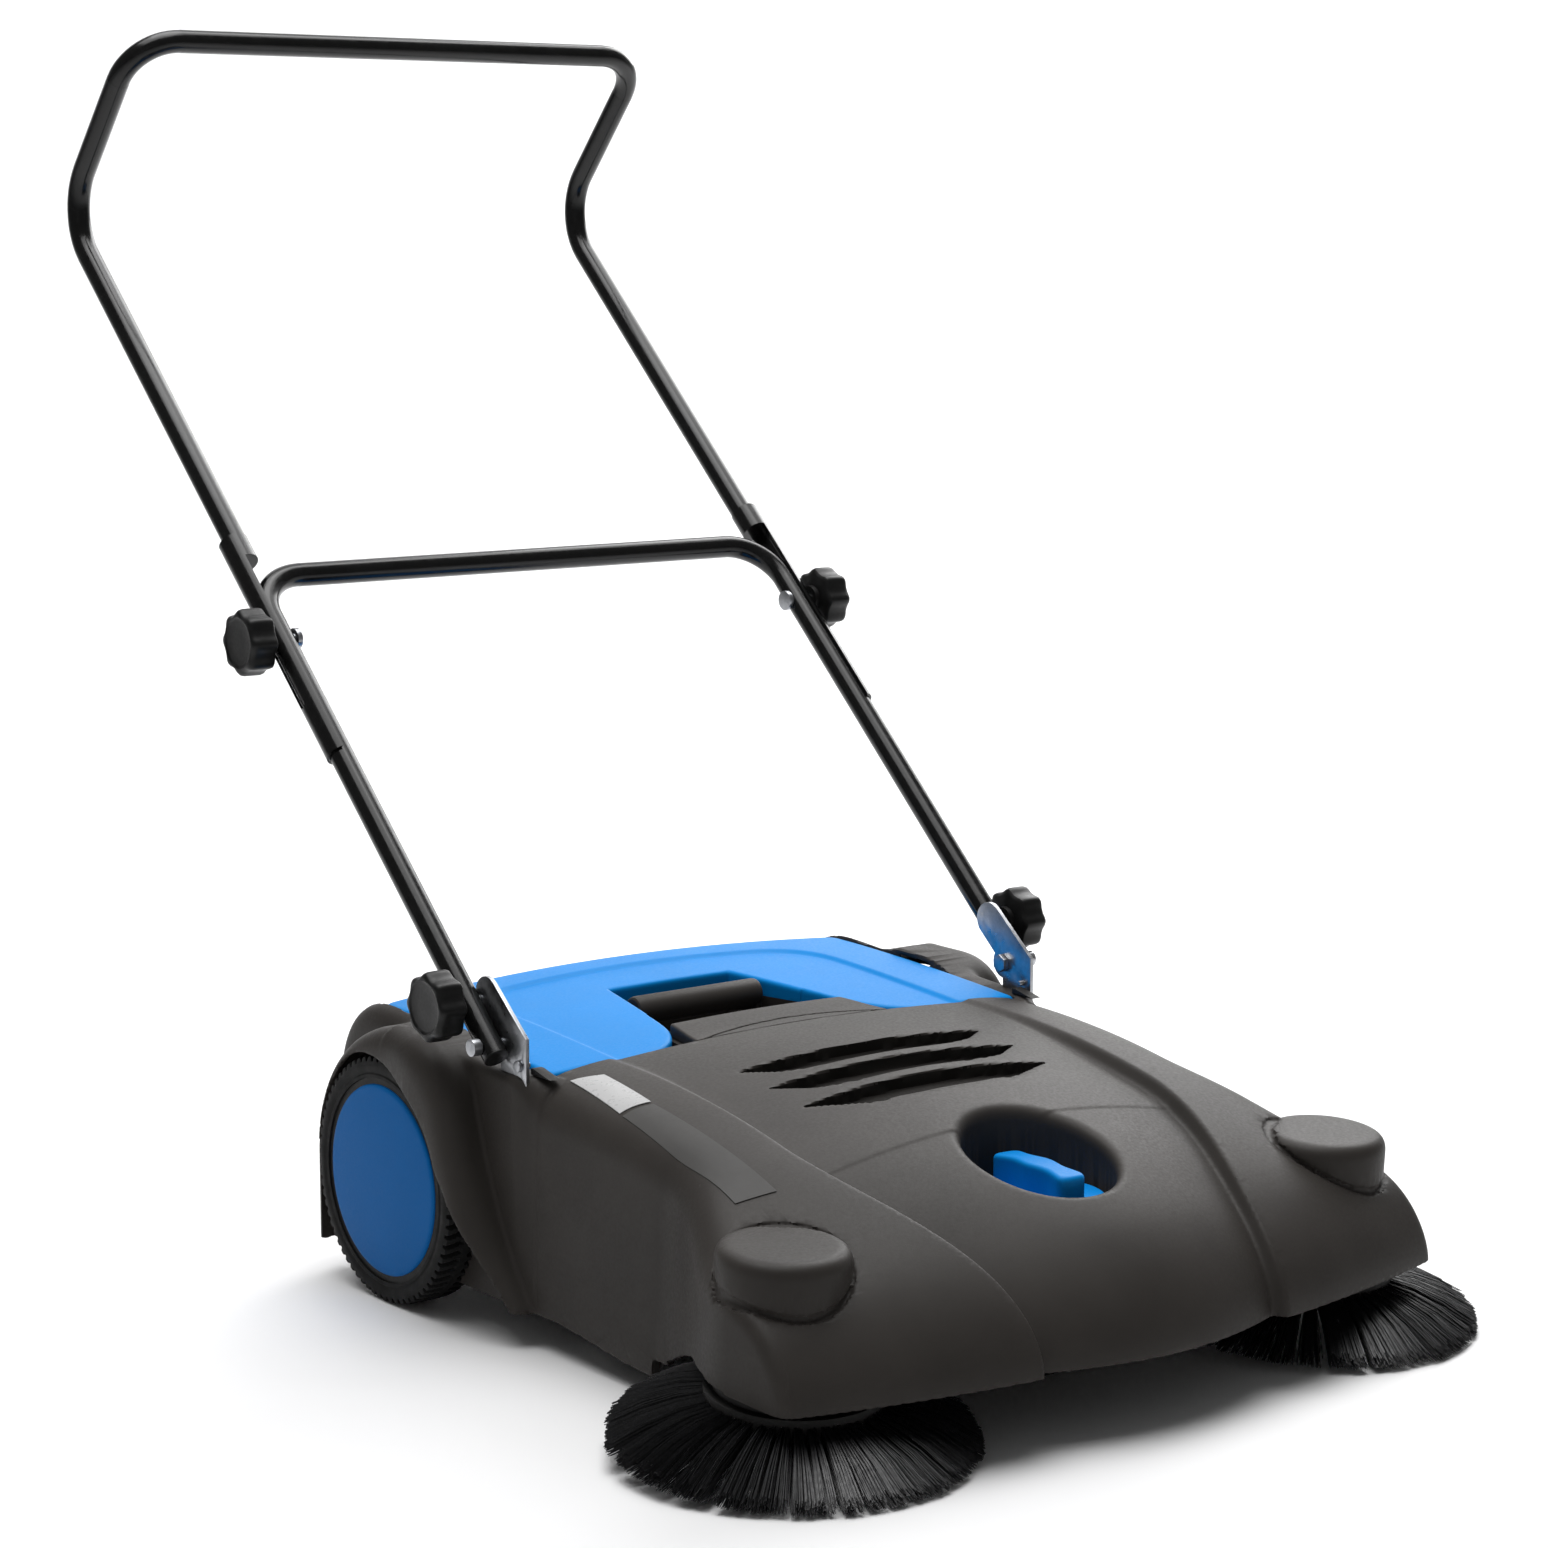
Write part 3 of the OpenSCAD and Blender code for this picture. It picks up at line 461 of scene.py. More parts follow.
MATERIAL_OF_SLOT = {
    "housing_plastic": HOUSING, "dark_plastic": DARK, "blue_plastic": BLUE, "black_tube": TUBE,
    "zinc_steel": ZINC, "knob_plastic": KNOB_BLACK, "tyre_rubber": TYRE, "bristle": BRISTLE,
    "bearing_plastic": BEARING, "label_film": LABEL,
}


def dress_cad_nodes():
    """Every CAD node gets the material of its slot."""
    for part in SUBPARTS:
        node = NODES[part["node"]]
        node.data.materials.clear()
        node.data.materials.append(MATERIAL_OF_SLOT[part["material_slot"]])
        shade(node, CAD_SMOOTH)


# --- main housing --------------------------------------------------------------------------
# All of its fields but housing_field are for the right half, x >= 0.

NOSE = 545.0            # reach of the nose in front of the axle
NOSE_BASE = 50.0        # height where the nose stands upright
DECK_REAR = -148.0      # y where the deck starts to fall towards the nose
DECK_TOP = 192.0
DECK_WALL = 6.5
WALL = 4.2
LIP_WALL = 3.2
EDGE_CURVE = 5.2e-4     # bow of the nose in plan
PANEL_CROWN = 4.0       # the centre panel above the deck's profile, at x = 0
SIDE_X = 235.0          # half width of the side walls behind the brushes
SIDE_DROP = 11.0
DRAFT_Z = 60.0          # the side walls lean in above this height
RAIL_IN = 209.0         # inner face of the rails, fenders and rear corners
BAY_X = 212.0           # half width of the lid's space
HUMP = np.array([238.0, -441.0, 139.0])
HUMP_R = 44.0
HUMP_GROOVE = 1.6
WELL_Y = -410.0
WELL_R = 52.0
WELL_FLOOR = 118.0
SPINDLE_HOLE = 7.0
VENT_REAR = -221.0
VENT_PITCH = 36.5
VENT_WIDTH = 26.5
VENT_HALF = 110.0
VENT_LOW_HALVES = (80, 80, 68)      # half length of each vent's front edge
VENT_SINK = 9.0
ARCH_R = 94.5
POD_ARCH_R = 95.5
FENDER_R = 101.0
LIP_X = 262.0
HOUSING_TRIANGLES = 190000


def deck_field(x, y, z):
    """Signed distance, roughly, from the deck and nose, a quarter of a near ellipse in side
    view: u ** 1.9 + w ** 2 = 1."""
    reach = NOSE + DECK_REAR
    u = np.maximum(DECK_REAR - (y - EDGE_CURVE * x * x * ramp(-y, 150, 480)), 0) / reach
    w = np.maximum((z - NOSE_BASE) / (DECK_TOP - NOSE_BASE), 0)
    level = u ** 1.9 + w ** 2
    along_y = 1.9 * u ** 0.9 / reach
    along_z = 2 * w / (DECK_TOP - NOSE_BASE)
    return (level - 1) / np.sqrt(along_y ** 2 + along_z ** 2 + 1e-5)


def crease_x(y):
    """Half width of the centre panel."""
    return 160 - 58 * ramp(-y, 340, 560)


def side_drop(x, y):
    """How much lower the deck runs outboard of the crease. It fades out towards the nose."""
    outboard = np.clip((x - crease_x(y)) / 75, 0, 2)
    return SIDE_DROP * outboard ** 1.6 * (1 - 0.95 * ramp(-y, 370, 490))


def panel_offset(x, y):
    """How far the crowned centre panel stands proud of the deck's profile. It is sunk at its
    edges, and a shallow step crosses it beside the knob well."""
    xc = crease_x(y)
    sunk = 2 + 7.5 * ramp(-y, 150, 330)
    crowned = PANEL_CROWN - (PANEL_CROWN + sunk) * (x / xc) ** 2
    seam = -0.7 * ramp(-y, 371, 373.5) * (1 - ramp(-y, 452, 500))
    return (crowned + seam) * (1 - ramp(x, xc - 5, xc + 5))


def side_x(y):
    """Half width of the side walls, which flare out beside the brushes."""
    return SIDE_X + 51 * ramp(-y, 300, 445)


def body_field(x, y, z):
    """Outside of the deck, nose and side walls."""
    deck = deck_field(x, y, z + side_drop(x, y)) - panel_offset(x, y)
    flank = (x - side_x(y)) * 0.93 + np.maximum(z - DRAFT_Z, 0) * 0.035
    return smax(deck, flank, 30 - 21 * ramp(-y, 390, 450))


def slot_field(x, y, top):
    """Three crescent vents: negative above their sunk floors. top is the body's field."""
    out = None
    for i, low_half in enumerate(VENT_LOW_HALVES):
        rear = VENT_REAR - VENT_PITCH * i + 5.5 * (1 - (x / VENT_HALF) ** 2)
        front = rear - VENT_WIDTH * np.clip(1 - (x / 114) ** 4, 0, 1)
        slant = np.clip((rear - y) / 22, -1, 1.5)
        end = (x - (VENT_HALF - (VENT_HALF - low_half) * slant)) * 0.35
        one = smax(smax(y - rear, front - y, 1.0), end, 1.0)
        out = one if out is None else np.minimum(out, one)
    return smax(out, -(top + VENT_SINK), 1.0)


def outer_field(x, y, z):
    """The housing as a full solid, with its humps, the knob well and the vents sunk into it."""
    body = body_field(x, y, z)
    reach = np.sqrt((x - HUMP[0]) ** 2 + (y - HUMP[1]) ** 2)
    top = z - HUMP[2] - (y - HUMP[1]) * 0.07
    hump = smax(smax(reach - HUMP_R - (z - HUMP[2]) * 0.05, top, 11), 62 - z, 2)
    outer = smin(body, hump, 2)
    outer = smax(outer, HUMP_GROOVE - np.maximum(np.abs(body), np.abs(hump)), 0.8)
    outer = smax(outer, -slot_field(x, y, body), 0.8)
    well_r = np.sqrt(x ** 2 + (y - WELL_Y) ** 2)
    return smax(outer, -np.maximum(well_r - WELL_R, WELL_FLOOR - z), 9)


def housing_field(x, y, z):
    """The whole housing: a shell under the deck, joined to the rails, fenders and rear corners,
    with the room for the lid, the spindle and the side brushes cut out."""
    x = np.abs(x)
    outer = outer_field(x, y, z)
    shell = smax(np.maximum(outer, -(outer + DECK_WALL)), y + 120, 2)
    rails = smin(side_rail_field(x, y, z), fender_field(x, y, z), 4)
    shell = smin(shell, smin(rails, pod_field(x, y, z), 2), 2)
    behind, beside_brush = 24 - 9 * ramp(-y, 170, 290), 27 + 24 * ramp(-y, 330, 450)
    shell = smax(shell, np.where(y > -296, behind, beside_brush) - z, 1.0)
    lid_space = np.maximum(np.maximum(x - BAY_X, -144 - y), 183 - z)
    spindle = np.sqrt(x ** 2 + (y - WELL_Y) ** 2) - SPINDLE_HOLE
    shell = np.maximum(np.maximum(shell, -lid_space), -spindle)
    return np.maximum(shell, -brush_space(x, y, z))


def brush_space(x, y, z):
    """The room that a turning side brush takes: a cone of bristles, then a slim shaft."""
    c, s = math.cos(math.radians(BRUSH_TILT)), math.sin(math.radians(BRUSH_TILT))
    v, w = y - BRUSH[1], z - BRUSH[2]
    along = w * c - v * s
    across = np.sqrt((x - BRUSH[0]) ** 2 + (v * c + w * s) ** 2)
    radius = np.interp(along, [12, 43, 44, 70], [126, 68, 8, 8]).astype(across.dtype)
    return np.maximum((across - radius) * 0.7, along - 100)


def rim_height(y):
    """Top of the rail and of the rear corner, a little under the lid's edge."""
    return 187 + 15 * ramp(y, -140, 90)


def side_rail_field(x, y, z):
    """Rail beside the hopper, from the deck back to the fender."""
    top = z - rim_height(y)
    front = ramp(-y, 130, 156)
    lean = np.maximum(z - DRAFT_Z, 0) * (0.004 + 0.031 * front)
    wall = x - SIDE_X - 1.5 * (1 - front) + lean
    ends = np.maximum(y + 40, -158 - y)
    outer = smax(smax(smax(top, wall, 8 + 20 * front), RAIL_IN - x, 2), ends, 4)
    hollow = smax(smax(top + WALL, wall + WALL, 8 + 18 * front), BAY_X - x, 1)
    return np.maximum(outer, -np.maximum(hollow, ends - 10))


def pod_field(x, y, z):
    """Rounded rear corner between the hopper and the fender."""
    top = smax(z - rim_height(y), (y - 126) * 0.98 + (z - 150) * 0.09, 60)
    outer = smax(smax(top, x - 226, 20), RAIL_IN - x, 2)
    hollow = smax(smax(top + WALL, x - 223, 18), BAY_X - x, 1)
    wheel = np.sqrt(y ** 2 + (z - WHEEL_R) ** 2) - POD_ARCH_R
    band = np.maximum(np.maximum(outer, -hollow), np.maximum(-60 - y, 62 - z))
    return np.maximum(band, -np.maximum(wheel, BAY_X - x))


def fender_field(x, y, z):
    """Wheel fender: a band round the arch that sweeps down to the side wall at the front, with a
    lip that closes over the front of the tyre."""
    r = np.sqrt(y ** 2 + (z - WHEEL_R) ** 2)
    angle = np.degrees(np.arctan2(z - WHEEL_R, y)) % 360
    angle = np.where(angle > 300, 0, angle)
    rear = r - FENDER_R - 11 * np.clip(angle / 96, 0, 1) ** 2
    rear = np.where((z < WHEEL_R) & (y > 0), y - FENDER_R, rear)
    fall = np.maximum(198 - z, 0)
    front = smax(z - 202 - y * 0.04, (-80 - 0.12 * fall - 0.0018 * fall ** 2 - y) * 0.9, 44)
    top = smax(np.where(y > 0, rear, r - 170), front, 1)
    lip = x - LIP_X - 4 * ramp(-y, 0, 50) + 12 * ramp(-y, 95, 150)
    outer = smax(smax(top, lip, 20), RAIL_IN - x, 1)
    hollow = smax(smax(top + WALL, lip + LIP_WALL, 17), BAY_X - x, 1)
    edge = ARCH_R - 15 * ramp(angle, 60, 120) * (1 - ramp(angle, 160, 185))
    low = (np.abs(y) - ARCH_R - np.where(y < 0, 0.8, 0) * (WHEEL_R - z)) * 0.8
    arch = np.maximum(np.where(z > WHEEL_R, r - edge, low), 240 - x)
    return smax(np.maximum(outer, -hollow), -arch, 1.5)


def paint_vent_shade(obj):
    """Give the sunk faces of the vents the darker plastic, as painted shade in the recesses."""
    obj.data.materials.append(VENT_SHADE)
    count = len(obj.data.polygons)
    centre = np.empty(3 * count)
    obj.data.polygons.foreach_get("center", centre)
    x, y, z = (centre.reshape(-1, 3) / MM - [0, AXLE_Y, 0]).T
    body = body_field(np.abs(x), y, z)
    in_slot = (slot_field(np.abs(x), y, body) < 1.5) & (y > -335)
    sunk = (body < -1.0) & (body > -VENT_SINK - 0.6) & in_slot
    # The sunk faces take the second material, the painted shade.
    obj.data.polygons.foreach_set("material_index", sunk.astype(np.int32))


def build_housing():
    points, quads = surface_net(housing_field, (0, -552, 14), (292, 136, 212), 2.0)
    obj = make_object("housing_shell", points, quads, HOUSING, smooth=0)
    thin_out(obj, HOUSING_TRIANGLES)
    paint_vent_shade(obj)
    shade(obj, FIELD_SMOOTH)
    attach(obj, "chassis")
    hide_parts("main_housing")


def on_deck(x, y):
    """Height of the deck's surface at the points (x, y)."""
    low, high = np.full(x.shape, 60.0), np.full(x.shape, 215.0)
    for _ in range(30):
        mid = (low + high) / 2
        outside = body_field(np.abs(x), y, mid) > 0
        high = np.where(outside, mid, high)
        low = np.where(outside, low, mid)
    return (low + high) / 2


def patch(name, corners, lift, thick, material, cells=(24, 6)):
    """Thin film on the deck between four corners given in plan."""
    u = np.linspace(0, 1, cells[0])[:, None, None]
    v = np.linspace(0, 1, cells[1])[None, :, None]
    a, b, c, d = (np.array(p, float) for p in corners)
    plan = ((1 - u) * (1 - v) * a + (1 - u) * v * b + u * v * c + u * (1 - v) * d).reshape(-1, 2)
    z = on_deck(plan[:, 0], plan[:, 1])
    top = np.column_stack([plan, z + lift + thick])
    under = np.column_stack([plan, z + lift])
    faces = grid_faces(*cells)
    n = len(top)
    under_faces = [tuple(n + i for i in reversed(f)) for f in faces]
    rim = list(range(cells[1])) + [i * cells[1] + cells[1] - 1 for i in range(1, cells[0])]
    rim += [n - 1 - i for i in range(1, cells[1])]
    rim += [i * cells[1] for i in range(cells[0] - 2, 0, -1)]
    sides = [(p, n + p, n + q, q) for p, q in zip(rim, rim[1:] + rim[:1])]
    faces += under_faces + sides
    obj = make_object(name, np.concatenate([top, under]), faces, material)
    fix_normals(obj)
    return obj


def build_labels():
    """A blank plate and a blank film along the left edge of the deck."""
    plate_corners = ((-208.7, -163), (-188.8, -175), (-195.8, -240), (-216.4, -233))
    film_corners = ((-217, -237), (-196.5, -244), (-199, -383), (-227.6, -376.6))
    plate = patch("label_plate", plate_corners, 0.45, 0.45, LABEL_PLATE)
    film = patch("label_film", film_corners, 0.4, 0.35, LABEL)
    for obj in (plate, film):
        fit_in(obj, "blank_label")


# --- hopper --------------------------------------------------------------------------------

LID_X = 211.0           # half width of the lid
LID_FRONT = -143.3
LID_FOOT = 184.4
LID_WALL = 2.8
LID_TRIANGLES = 120000
HAND_REAR = 10.5        # rear edge of the hand opening
PANEL_REAR = -96.2
PANEL_WALL = 3.6
PANEL_FOOT = 187.0


def lid_height(x, y):
    """Top of the lid: rising to the rear, crowned across, with a sunk inner panel."""
    crown = 194.5 + 11.5 * (1 - np.clip((78 - y) / 221, 0, 1.2) ** 1.6) - 7 * (x / LID_X) ** 2
    inner = smax(x - 156, y - 63 + 9 * (x / 120) ** 2, 46)
    return crown - 2.4 * (1 - ramp(inner, -4, 2))


def hand_side(y):
    """Half width of the hand opening."""
    return 55 + 0.218 * (HAND_REAR - y)


def lid_field(x, y, z):
    """The lid: a thin shell with the hand opening cut into it from the front."""
    x = np.abs(x)
    side = hand_side(y)
    top = (z - lid_height(x, y)) * 0.98
    rear = y - 92 + 14 * (x / LID_X) ** 2
    outline = smax(smax(x - LID_X, rear, 8), LID_FRONT - y, 3)
    hole = np.where((x < side) & (y < HAND_REAR), np.minimum(side - x, HAND_REAR - y),
                    -np.hypot(np.maximum(x - side, 0), np.maximum(y - HAND_REAR, 0)))
    inner_corner = smax(side - x, LID_FRONT - y, 60)
    outline = np.maximum(outline, np.where(y < -60, inner_corner, -1e3))
    solid = smax(smax(top, outline, 3.5), hole, 3.5)
    hollow = smax(smax(top + LID_WALL, outline + LID_WALL, 2), hole + LID_WALL, 2)
    return np.maximum(np.maximum(solid, -hollow), LID_FOOT - z)


def panel_field(x, y, z):
    """Filler panel between the hand opening and the deck, with a bowed seam."""
    x = np.abs(x)
    top = z - (196 - 6 * (x / 160) ** 2 + 2.4 * ramp(y, -143, -96))
    side = x - hand_side(y) + 0.8
    solid = smax(smax(smax(top, LID_FRONT - y, 1), side, 2), y - PANEL_REAR, 4)
    hollow = smax(top + PANEL_WALL, -139.7 - y, 1)
    hollow = smax(hollow, np.maximum(side + 2.6, y + 98.8), 2)
    seam = np.maximum(np.abs(y + 130 + 17 * (x / 90) ** 2) - 0.9, -1.6 - top)
    return np.maximum(smax(np.maximum(solid, -hollow), -seam, 0.5), PANEL_FOOT - z)


def build_lid():
    points, quads = surface_net(lid_field, (0, -146, 182), (214, 95, 209), 1.5)
    obj = make_object("lid_shell", points, quads, BLUE, smooth=0)
    thin_out(obj, LID_TRIANGLES)
    shade(obj, FIELD_SMOOTH)
    fit_in(obj, "hopper_lid")
    points, quads = surface_net(panel_field, (0, -147, 184), (92, -94, 202), 0.9)
    obj = make_object("deck_filler", points, quads, HOUSING, smooth=FIELD_SMOOTH)
    fit_in(obj, "hopper_panel")


def build_carry_bar():
    """Round bar with turned ends that runs into two lugs."""
    profile = [(-57, 6), (-57, 9), (-56, 10.4), (-54, 11), (54, 11), (56, 10.4), (57, 9), (57, 6)]
    bar = lathe("carry_bar", np.array(profile), (0, -22, 190), HOUSING, 40)
    fit_in(bar, "carry_handle")
    for side, _ in SIDES:
        obj = beveled_box("carry_lug", (side * 53.8, -22, 172), (5.5, 18, 24), 1.5, HOUSING)
        fit_in(obj, "carry_handle")


# --- knobs and fittings --------------------------------------------------------------------

# Depth from the grip's inner face, and radius as a share of the full one.
STAR_PROFILE = ((-4, 0.42), (-0.3, 0.44), (0, 0.80), (0.6, 0.90), (2, 0.97), (4.5, 1.0),
                (12, 1.0), (17.5, 0.995), (20, 0.965), (21.4, 0.91), (22, 0.84), (21.9, 0.76),
                (21.2, 0.72), (20.9, 0.66), (20.9, 0.3))
STAR_LOBES = 8
STAR_R = 25.0
STAR_VALLEY_R = 22.3

KNOB_TURN = -4.5        # degrees, as it stands at rest
KNOB_R = 46.0
KNOB_FOOT = 118.5
KNOB_DISC_TOP = 125.3
KNOB_BAR_TOP = 148.3

BRACKET_CUT = 180.0     # the housing hides the brackets below this height
FLAP_X = 217.0          # the flaps at the brackets' feet shrink towards this x
FLAP_DROP = 4.5
FITTINGS = (("pivot_bolt_", 0.6), ("mid_bolt_", 0.6), ("bracket_screw_", 0.4),
            ("slot_flap_", 0.8), ("brush_hub_", 0.9), ("leg_plug_", 0.3))


def star_grip(name, x_in, along, side, node):
    """Eight-lobed grip with rounded rims, a sunk face and a boss towards the handle."""
    steps = 128
    angle = circle(steps)
    lobe = STAR_VALLEY_R + 2.7 * (0.5 + 0.5 * np.cos(STAR_LOBES * angle)) ** 1.3
    rings = []
    for t, scale in STAR_PROFILE:
        mix = min(1, max(0, (scale - 0.7) / 0.2))
        radius = scale * (lobe * mix + STAR_R * (1 - mix))
        rings.append(np.column_stack([side * (x_in + t) + 0 * angle, radius * np.cos(angle),
                                      radius * np.sin(angle)]))
    points = np.concatenate(rings) + (PIVOT + along * LEG)
    faces = grid_faces(len(rings), steps, wrap_columns=True) + end_caps(len(rings), steps)
    obj = make_object(name, points, faces, KNOB_BLACK, 32)
    fix_normals(obj)
    fit_in(obj, node)


def build_star_grips():
    for side, word in SIDES:
        star_grip("low_grip_" + word, 254.0, 38, side, "low_knob_" + word)
        star_grip("mid_grip_" + word, 255.9, 376, side, "mid_knob_" + word)


def refined(node, bevel, foot=None):
    """A copy of a CAD node with small rounded edges, cut off below the height foot."""
    mesh = bmesh.new()
    mesh.from_mesh(NODES[node].data)
    bmesh.ops.remove_doubles(mesh, verts=mesh.verts, dist=1e-6)
    bmesh.ops.dissolve_limit(mesh, angle_limit=math.radians(1.5), verts=mesh.verts,
                             edges=mesh.edges)
    if foot:
        cut = bmesh.ops.bisect_plane(mesh, geom=mesh.verts[:] + mesh.edges[:] + mesh.faces[:],
                                     dist=1e-7, plane_co=(0, 0, foot * MM), plane_no=(0, 0, -1),
                                     clear_outer=True)
        rim = [e for e in cut["geom_cut"] if isinstance(e, bmesh.types.BMEdge)]
        bmesh.ops.contextual_create(mesh, geom=rim)
    sharp = [e for e in mesh.edges
             if len(e.link_faces) == 2 and e.calc_face_angle() > math.radians(38)]
    bmesh.ops.bevel(mesh, geom=sharp, offset=bevel * MM, segments=2, profile=0.6, affect="EDGES",
                    clamp_overlap=True)
    obj = from_bmesh(node + "_rounded", mesh, MATERIAL_OF_SLOT[SLOT_OF[node]])
    fit_in(obj, node)
    return obj


def build_fittings():
    """Brackets, bolts, screws, plugs and hub discs with rounded edges. The flaps at the feet of
    the brackets are also made narrower and lower."""
    for _, word in SIDES:
        refined("bracket_" + word, 0.7, BRACKET_CUT)
        for node, bevel in FITTINGS:
            obj = refined(node + word, bevel)
            if node == "slot_flap_":
                for vert in obj.data.vertices:
                    vert.co.x *= 0.6 + 0.4 * FLAP_X * MM / abs(vert.co.x)
                    vert.co.z -= FLAP_DROP * MM


def knob_field(x, y, z):
    """Height knob: a disc and a waisted grip bar, about its own axis."""
    r = np.sqrt(x * x + y * y)
    disc = smax(r - KNOB_R, z - KNOB_DISC_TOP, 4)
    half = 9.7 + 1.1 * np.cos(np.clip(np.abs(y), 0, 40) * TAU / 36)
    end = np.abs(y) - 40 + 0.012 * x * x
    bar = smax(smax(np.abs(x) - half, end, 5), z - KNOB_BAR_TOP + 0.0015 * y * y, 3.5)
    return smax(smin(disc, bar, 3), KNOB_FOOT - z, 0.8)


def build_height_knob():
    points, quads = surface_net(knob_field, (0, -48, 116), (48, 48, 150), 1.1)
    x, y, z = points.T
    c, s = math.cos(math.radians(KNOB_TURN)), math.sin(math.radians(KNOB_TURN))
    points = np.column_stack([x * c - y * s, x * s + y * c + WELL_Y, z])
    obj = make_object("height_grip", points, quads, BLUE, smooth=35)
    fit_in(obj, "height_knob")


def build_floor_pan():
    """The floor under the deck, drawn in a little where the nose curves in."""
    obj = refined("front_floor", 0.6)
    centre = np.array([0, -330.0])
    for vert in obj.data.vertices:
        x, y, z = np.array(vert.co) / MM - [0, AXLE_Y, 0]
        while (body_field(np.array([abs(x)]), np.array([y]), np.array([z]))[0] > -4
               and y < -300):
            x, y = centre + (np.array([x, y]) - centre) * 0.995
        vert.co = to_row([x, y, z])


# --- wheels --------------------------------------------------------------------------------

LUGS = 70
LUG_DEPTH = 3.8
TREAD_X = 244.0         # middle of the tread
# Side walls and bead rings as (x, radius), from the inner bead and to the outer bead.
TYRE_INNER = ((228, 74.1), (226.8, 76), (226.2, 80), (226.2, 83.5), (226.8, 85.6))
TYRE_OUTER = ((261.2, 85.6), (261.9, 83.5), (261.9, 80), (261.2, 78.6), (261.2, 77.4),
              (261.8, 76.4), (261.6, 74.1))
HUB_RINGS = (0.5, 8, 16, 24, 32, 40, 47, 53, 58, 62, 65, 66.5)
HUB_EDGE = ((261.7, 67.9), (261.0, 68.9), (260.0, 69.35), (259.2, 69.2), (259.2, 66),
            (252.5, 65.8), (252.5, 64), (258.6, 62), (260.5, 30), (260.9, 0.5))


def build_tyre(side, word):
    """Tyre with slanted shoulder lugs, a centre rib and bead rings on its side walls."""
    steps = LUGS * 8
    angle = circle(steps)

    def ring(x, r):
        return np.column_stack([np.full(steps, x), r + np.zeros(steps)])

    rows = [ring(x, r) for x, r in TYRE_INNER]
    for x in np.linspace(227.4, 260.6, 20):
        reach = abs(x - TREAD_X)
        crown = WHEEL_R - 1.6 * ((x - TREAD_X) / 18) ** 4
        phase = (angle * LUGS / TAU + (0.3 if x > TREAD_X else 0.8) - 0.035 * reach) % 1
        groove = ramp(phase, 0.5, 0.62) * (1 - ramp(phase, 0.88, 1.0)) * ramp(reach, 2.5, 4.5)
        rows.append(ring(x, crown - LUG_DEPTH * groove))
    rows += [ring(x, r) for x, r in TYRE_OUTER]
    x, r = np.moveaxis(np.array(rows), -1, 0)
    points = np.stack([side * x, r * np.cos(angle), r * np.sin(angle) + WHEEL_R], -1)
    faces = grid_faces(len(rows), steps, wrap_rows=True, wrap_columns=True)
    obj = make_object("tyre_tread_" + word, points.reshape(-1, 3), faces, TYRE, 30)
    fix_normals(obj)
    fit_in(obj, "tyre_" + word)


def build_hubcap(side, word):
    """Plain domed disc with a rolled edge."""
    dome = [(262 + 2.1 * (1 - (r / 66) ** 2), r) for r in HUB_RINGS]
    profile = np.array(dome + list(HUB_EDGE)) * [side, 1]
    obj = lathe("hub_disc_" + word, profile, (0, 0, WHEEL_R), HUB_BLUE, 128, 30)
    fit_in(obj, "hubcap_" + word)


def build_wheels():
    for side, word in SIDES:
        build_tyre(side, word)
        build_hubcap(side, word)


# --- brushes -------------------------------------------------------------------------------

SIDE_TUFTS = 46
TUFT_BRISTLES = 92
SIDE_BRISTLE_R = 0.42
ROLLER_CENTRE = np.array([0, -94.48, 73.0])
ROLLER_ROWS = 8
ROW_TUFTS = 150
ROW_BRISTLES = 5
ROW_LENGTH = 388
ROLLER_ROOT_R = 26.5
ROLLER_TIP_R = 71.6
ROLLER_BRISTLE_R = 0.5


def strands(name, base, tip, sag, radius, segments):
    """Thin three-sided bristles from base to tip, bent by sag and thinner at the tip."""
    count = len(base)
    along = (tip - base) / np.linalg.norm(tip - base, axis=1)[:, None]
    side = np.cross(along, [0.31, 0.17, 0.94])
    side /= np.linalg.norm(side, axis=1)[:, None]
    up = np.cross(along, side)
    rings = []
    for t in np.linspace(0, 1, segments + 1):
        centre = base + (tip - base) * t + sag * (4 * t * (1 - t))
        r = radius * (1 - 0.25 * t)
        for a in (0, TAU / 3, 2 * TAU / 3):
            rings.append(centre + r * (math.cos(a) * side + math.sin(a) * up))
    points = np.stack(rings, 1).reshape(-1, 3)
    size = 3 * (segments + 1)
    pattern = [(3 * i + a, 3 * i + (a + 1) % 3, 3 * i + 3 + (a + 1) % 3, 3 * i + 3 + a)
               for i in range(segments) for a in range(3)]
    tips = [(2, 1, 0), (size - 3, size - 2, size - 1)]
    first = np.arange(count)[:, None, None] * size
    quads = (first + np.array(pattern)[None]).reshape(-1, 4)
    ends = (first + np.array(tips)[None]).reshape(-1, 3)
    return make_object(name, points, quads.tolist() + ends.tolist(), BRISTLE, 60)


def place_brush(points, side):
    """From the brush's own frame to the working frame."""
    tilt, lean = math.radians(BRUSH_TILT), math.radians(side * BRUSH_LEAN)
    turn = np.array(Matrix.Rotation(lean, 3, "Y") @ Matrix.Rotation(tilt, 3, "X"))
    return points @ turn.T + BRUSH * [side, 1, 1]


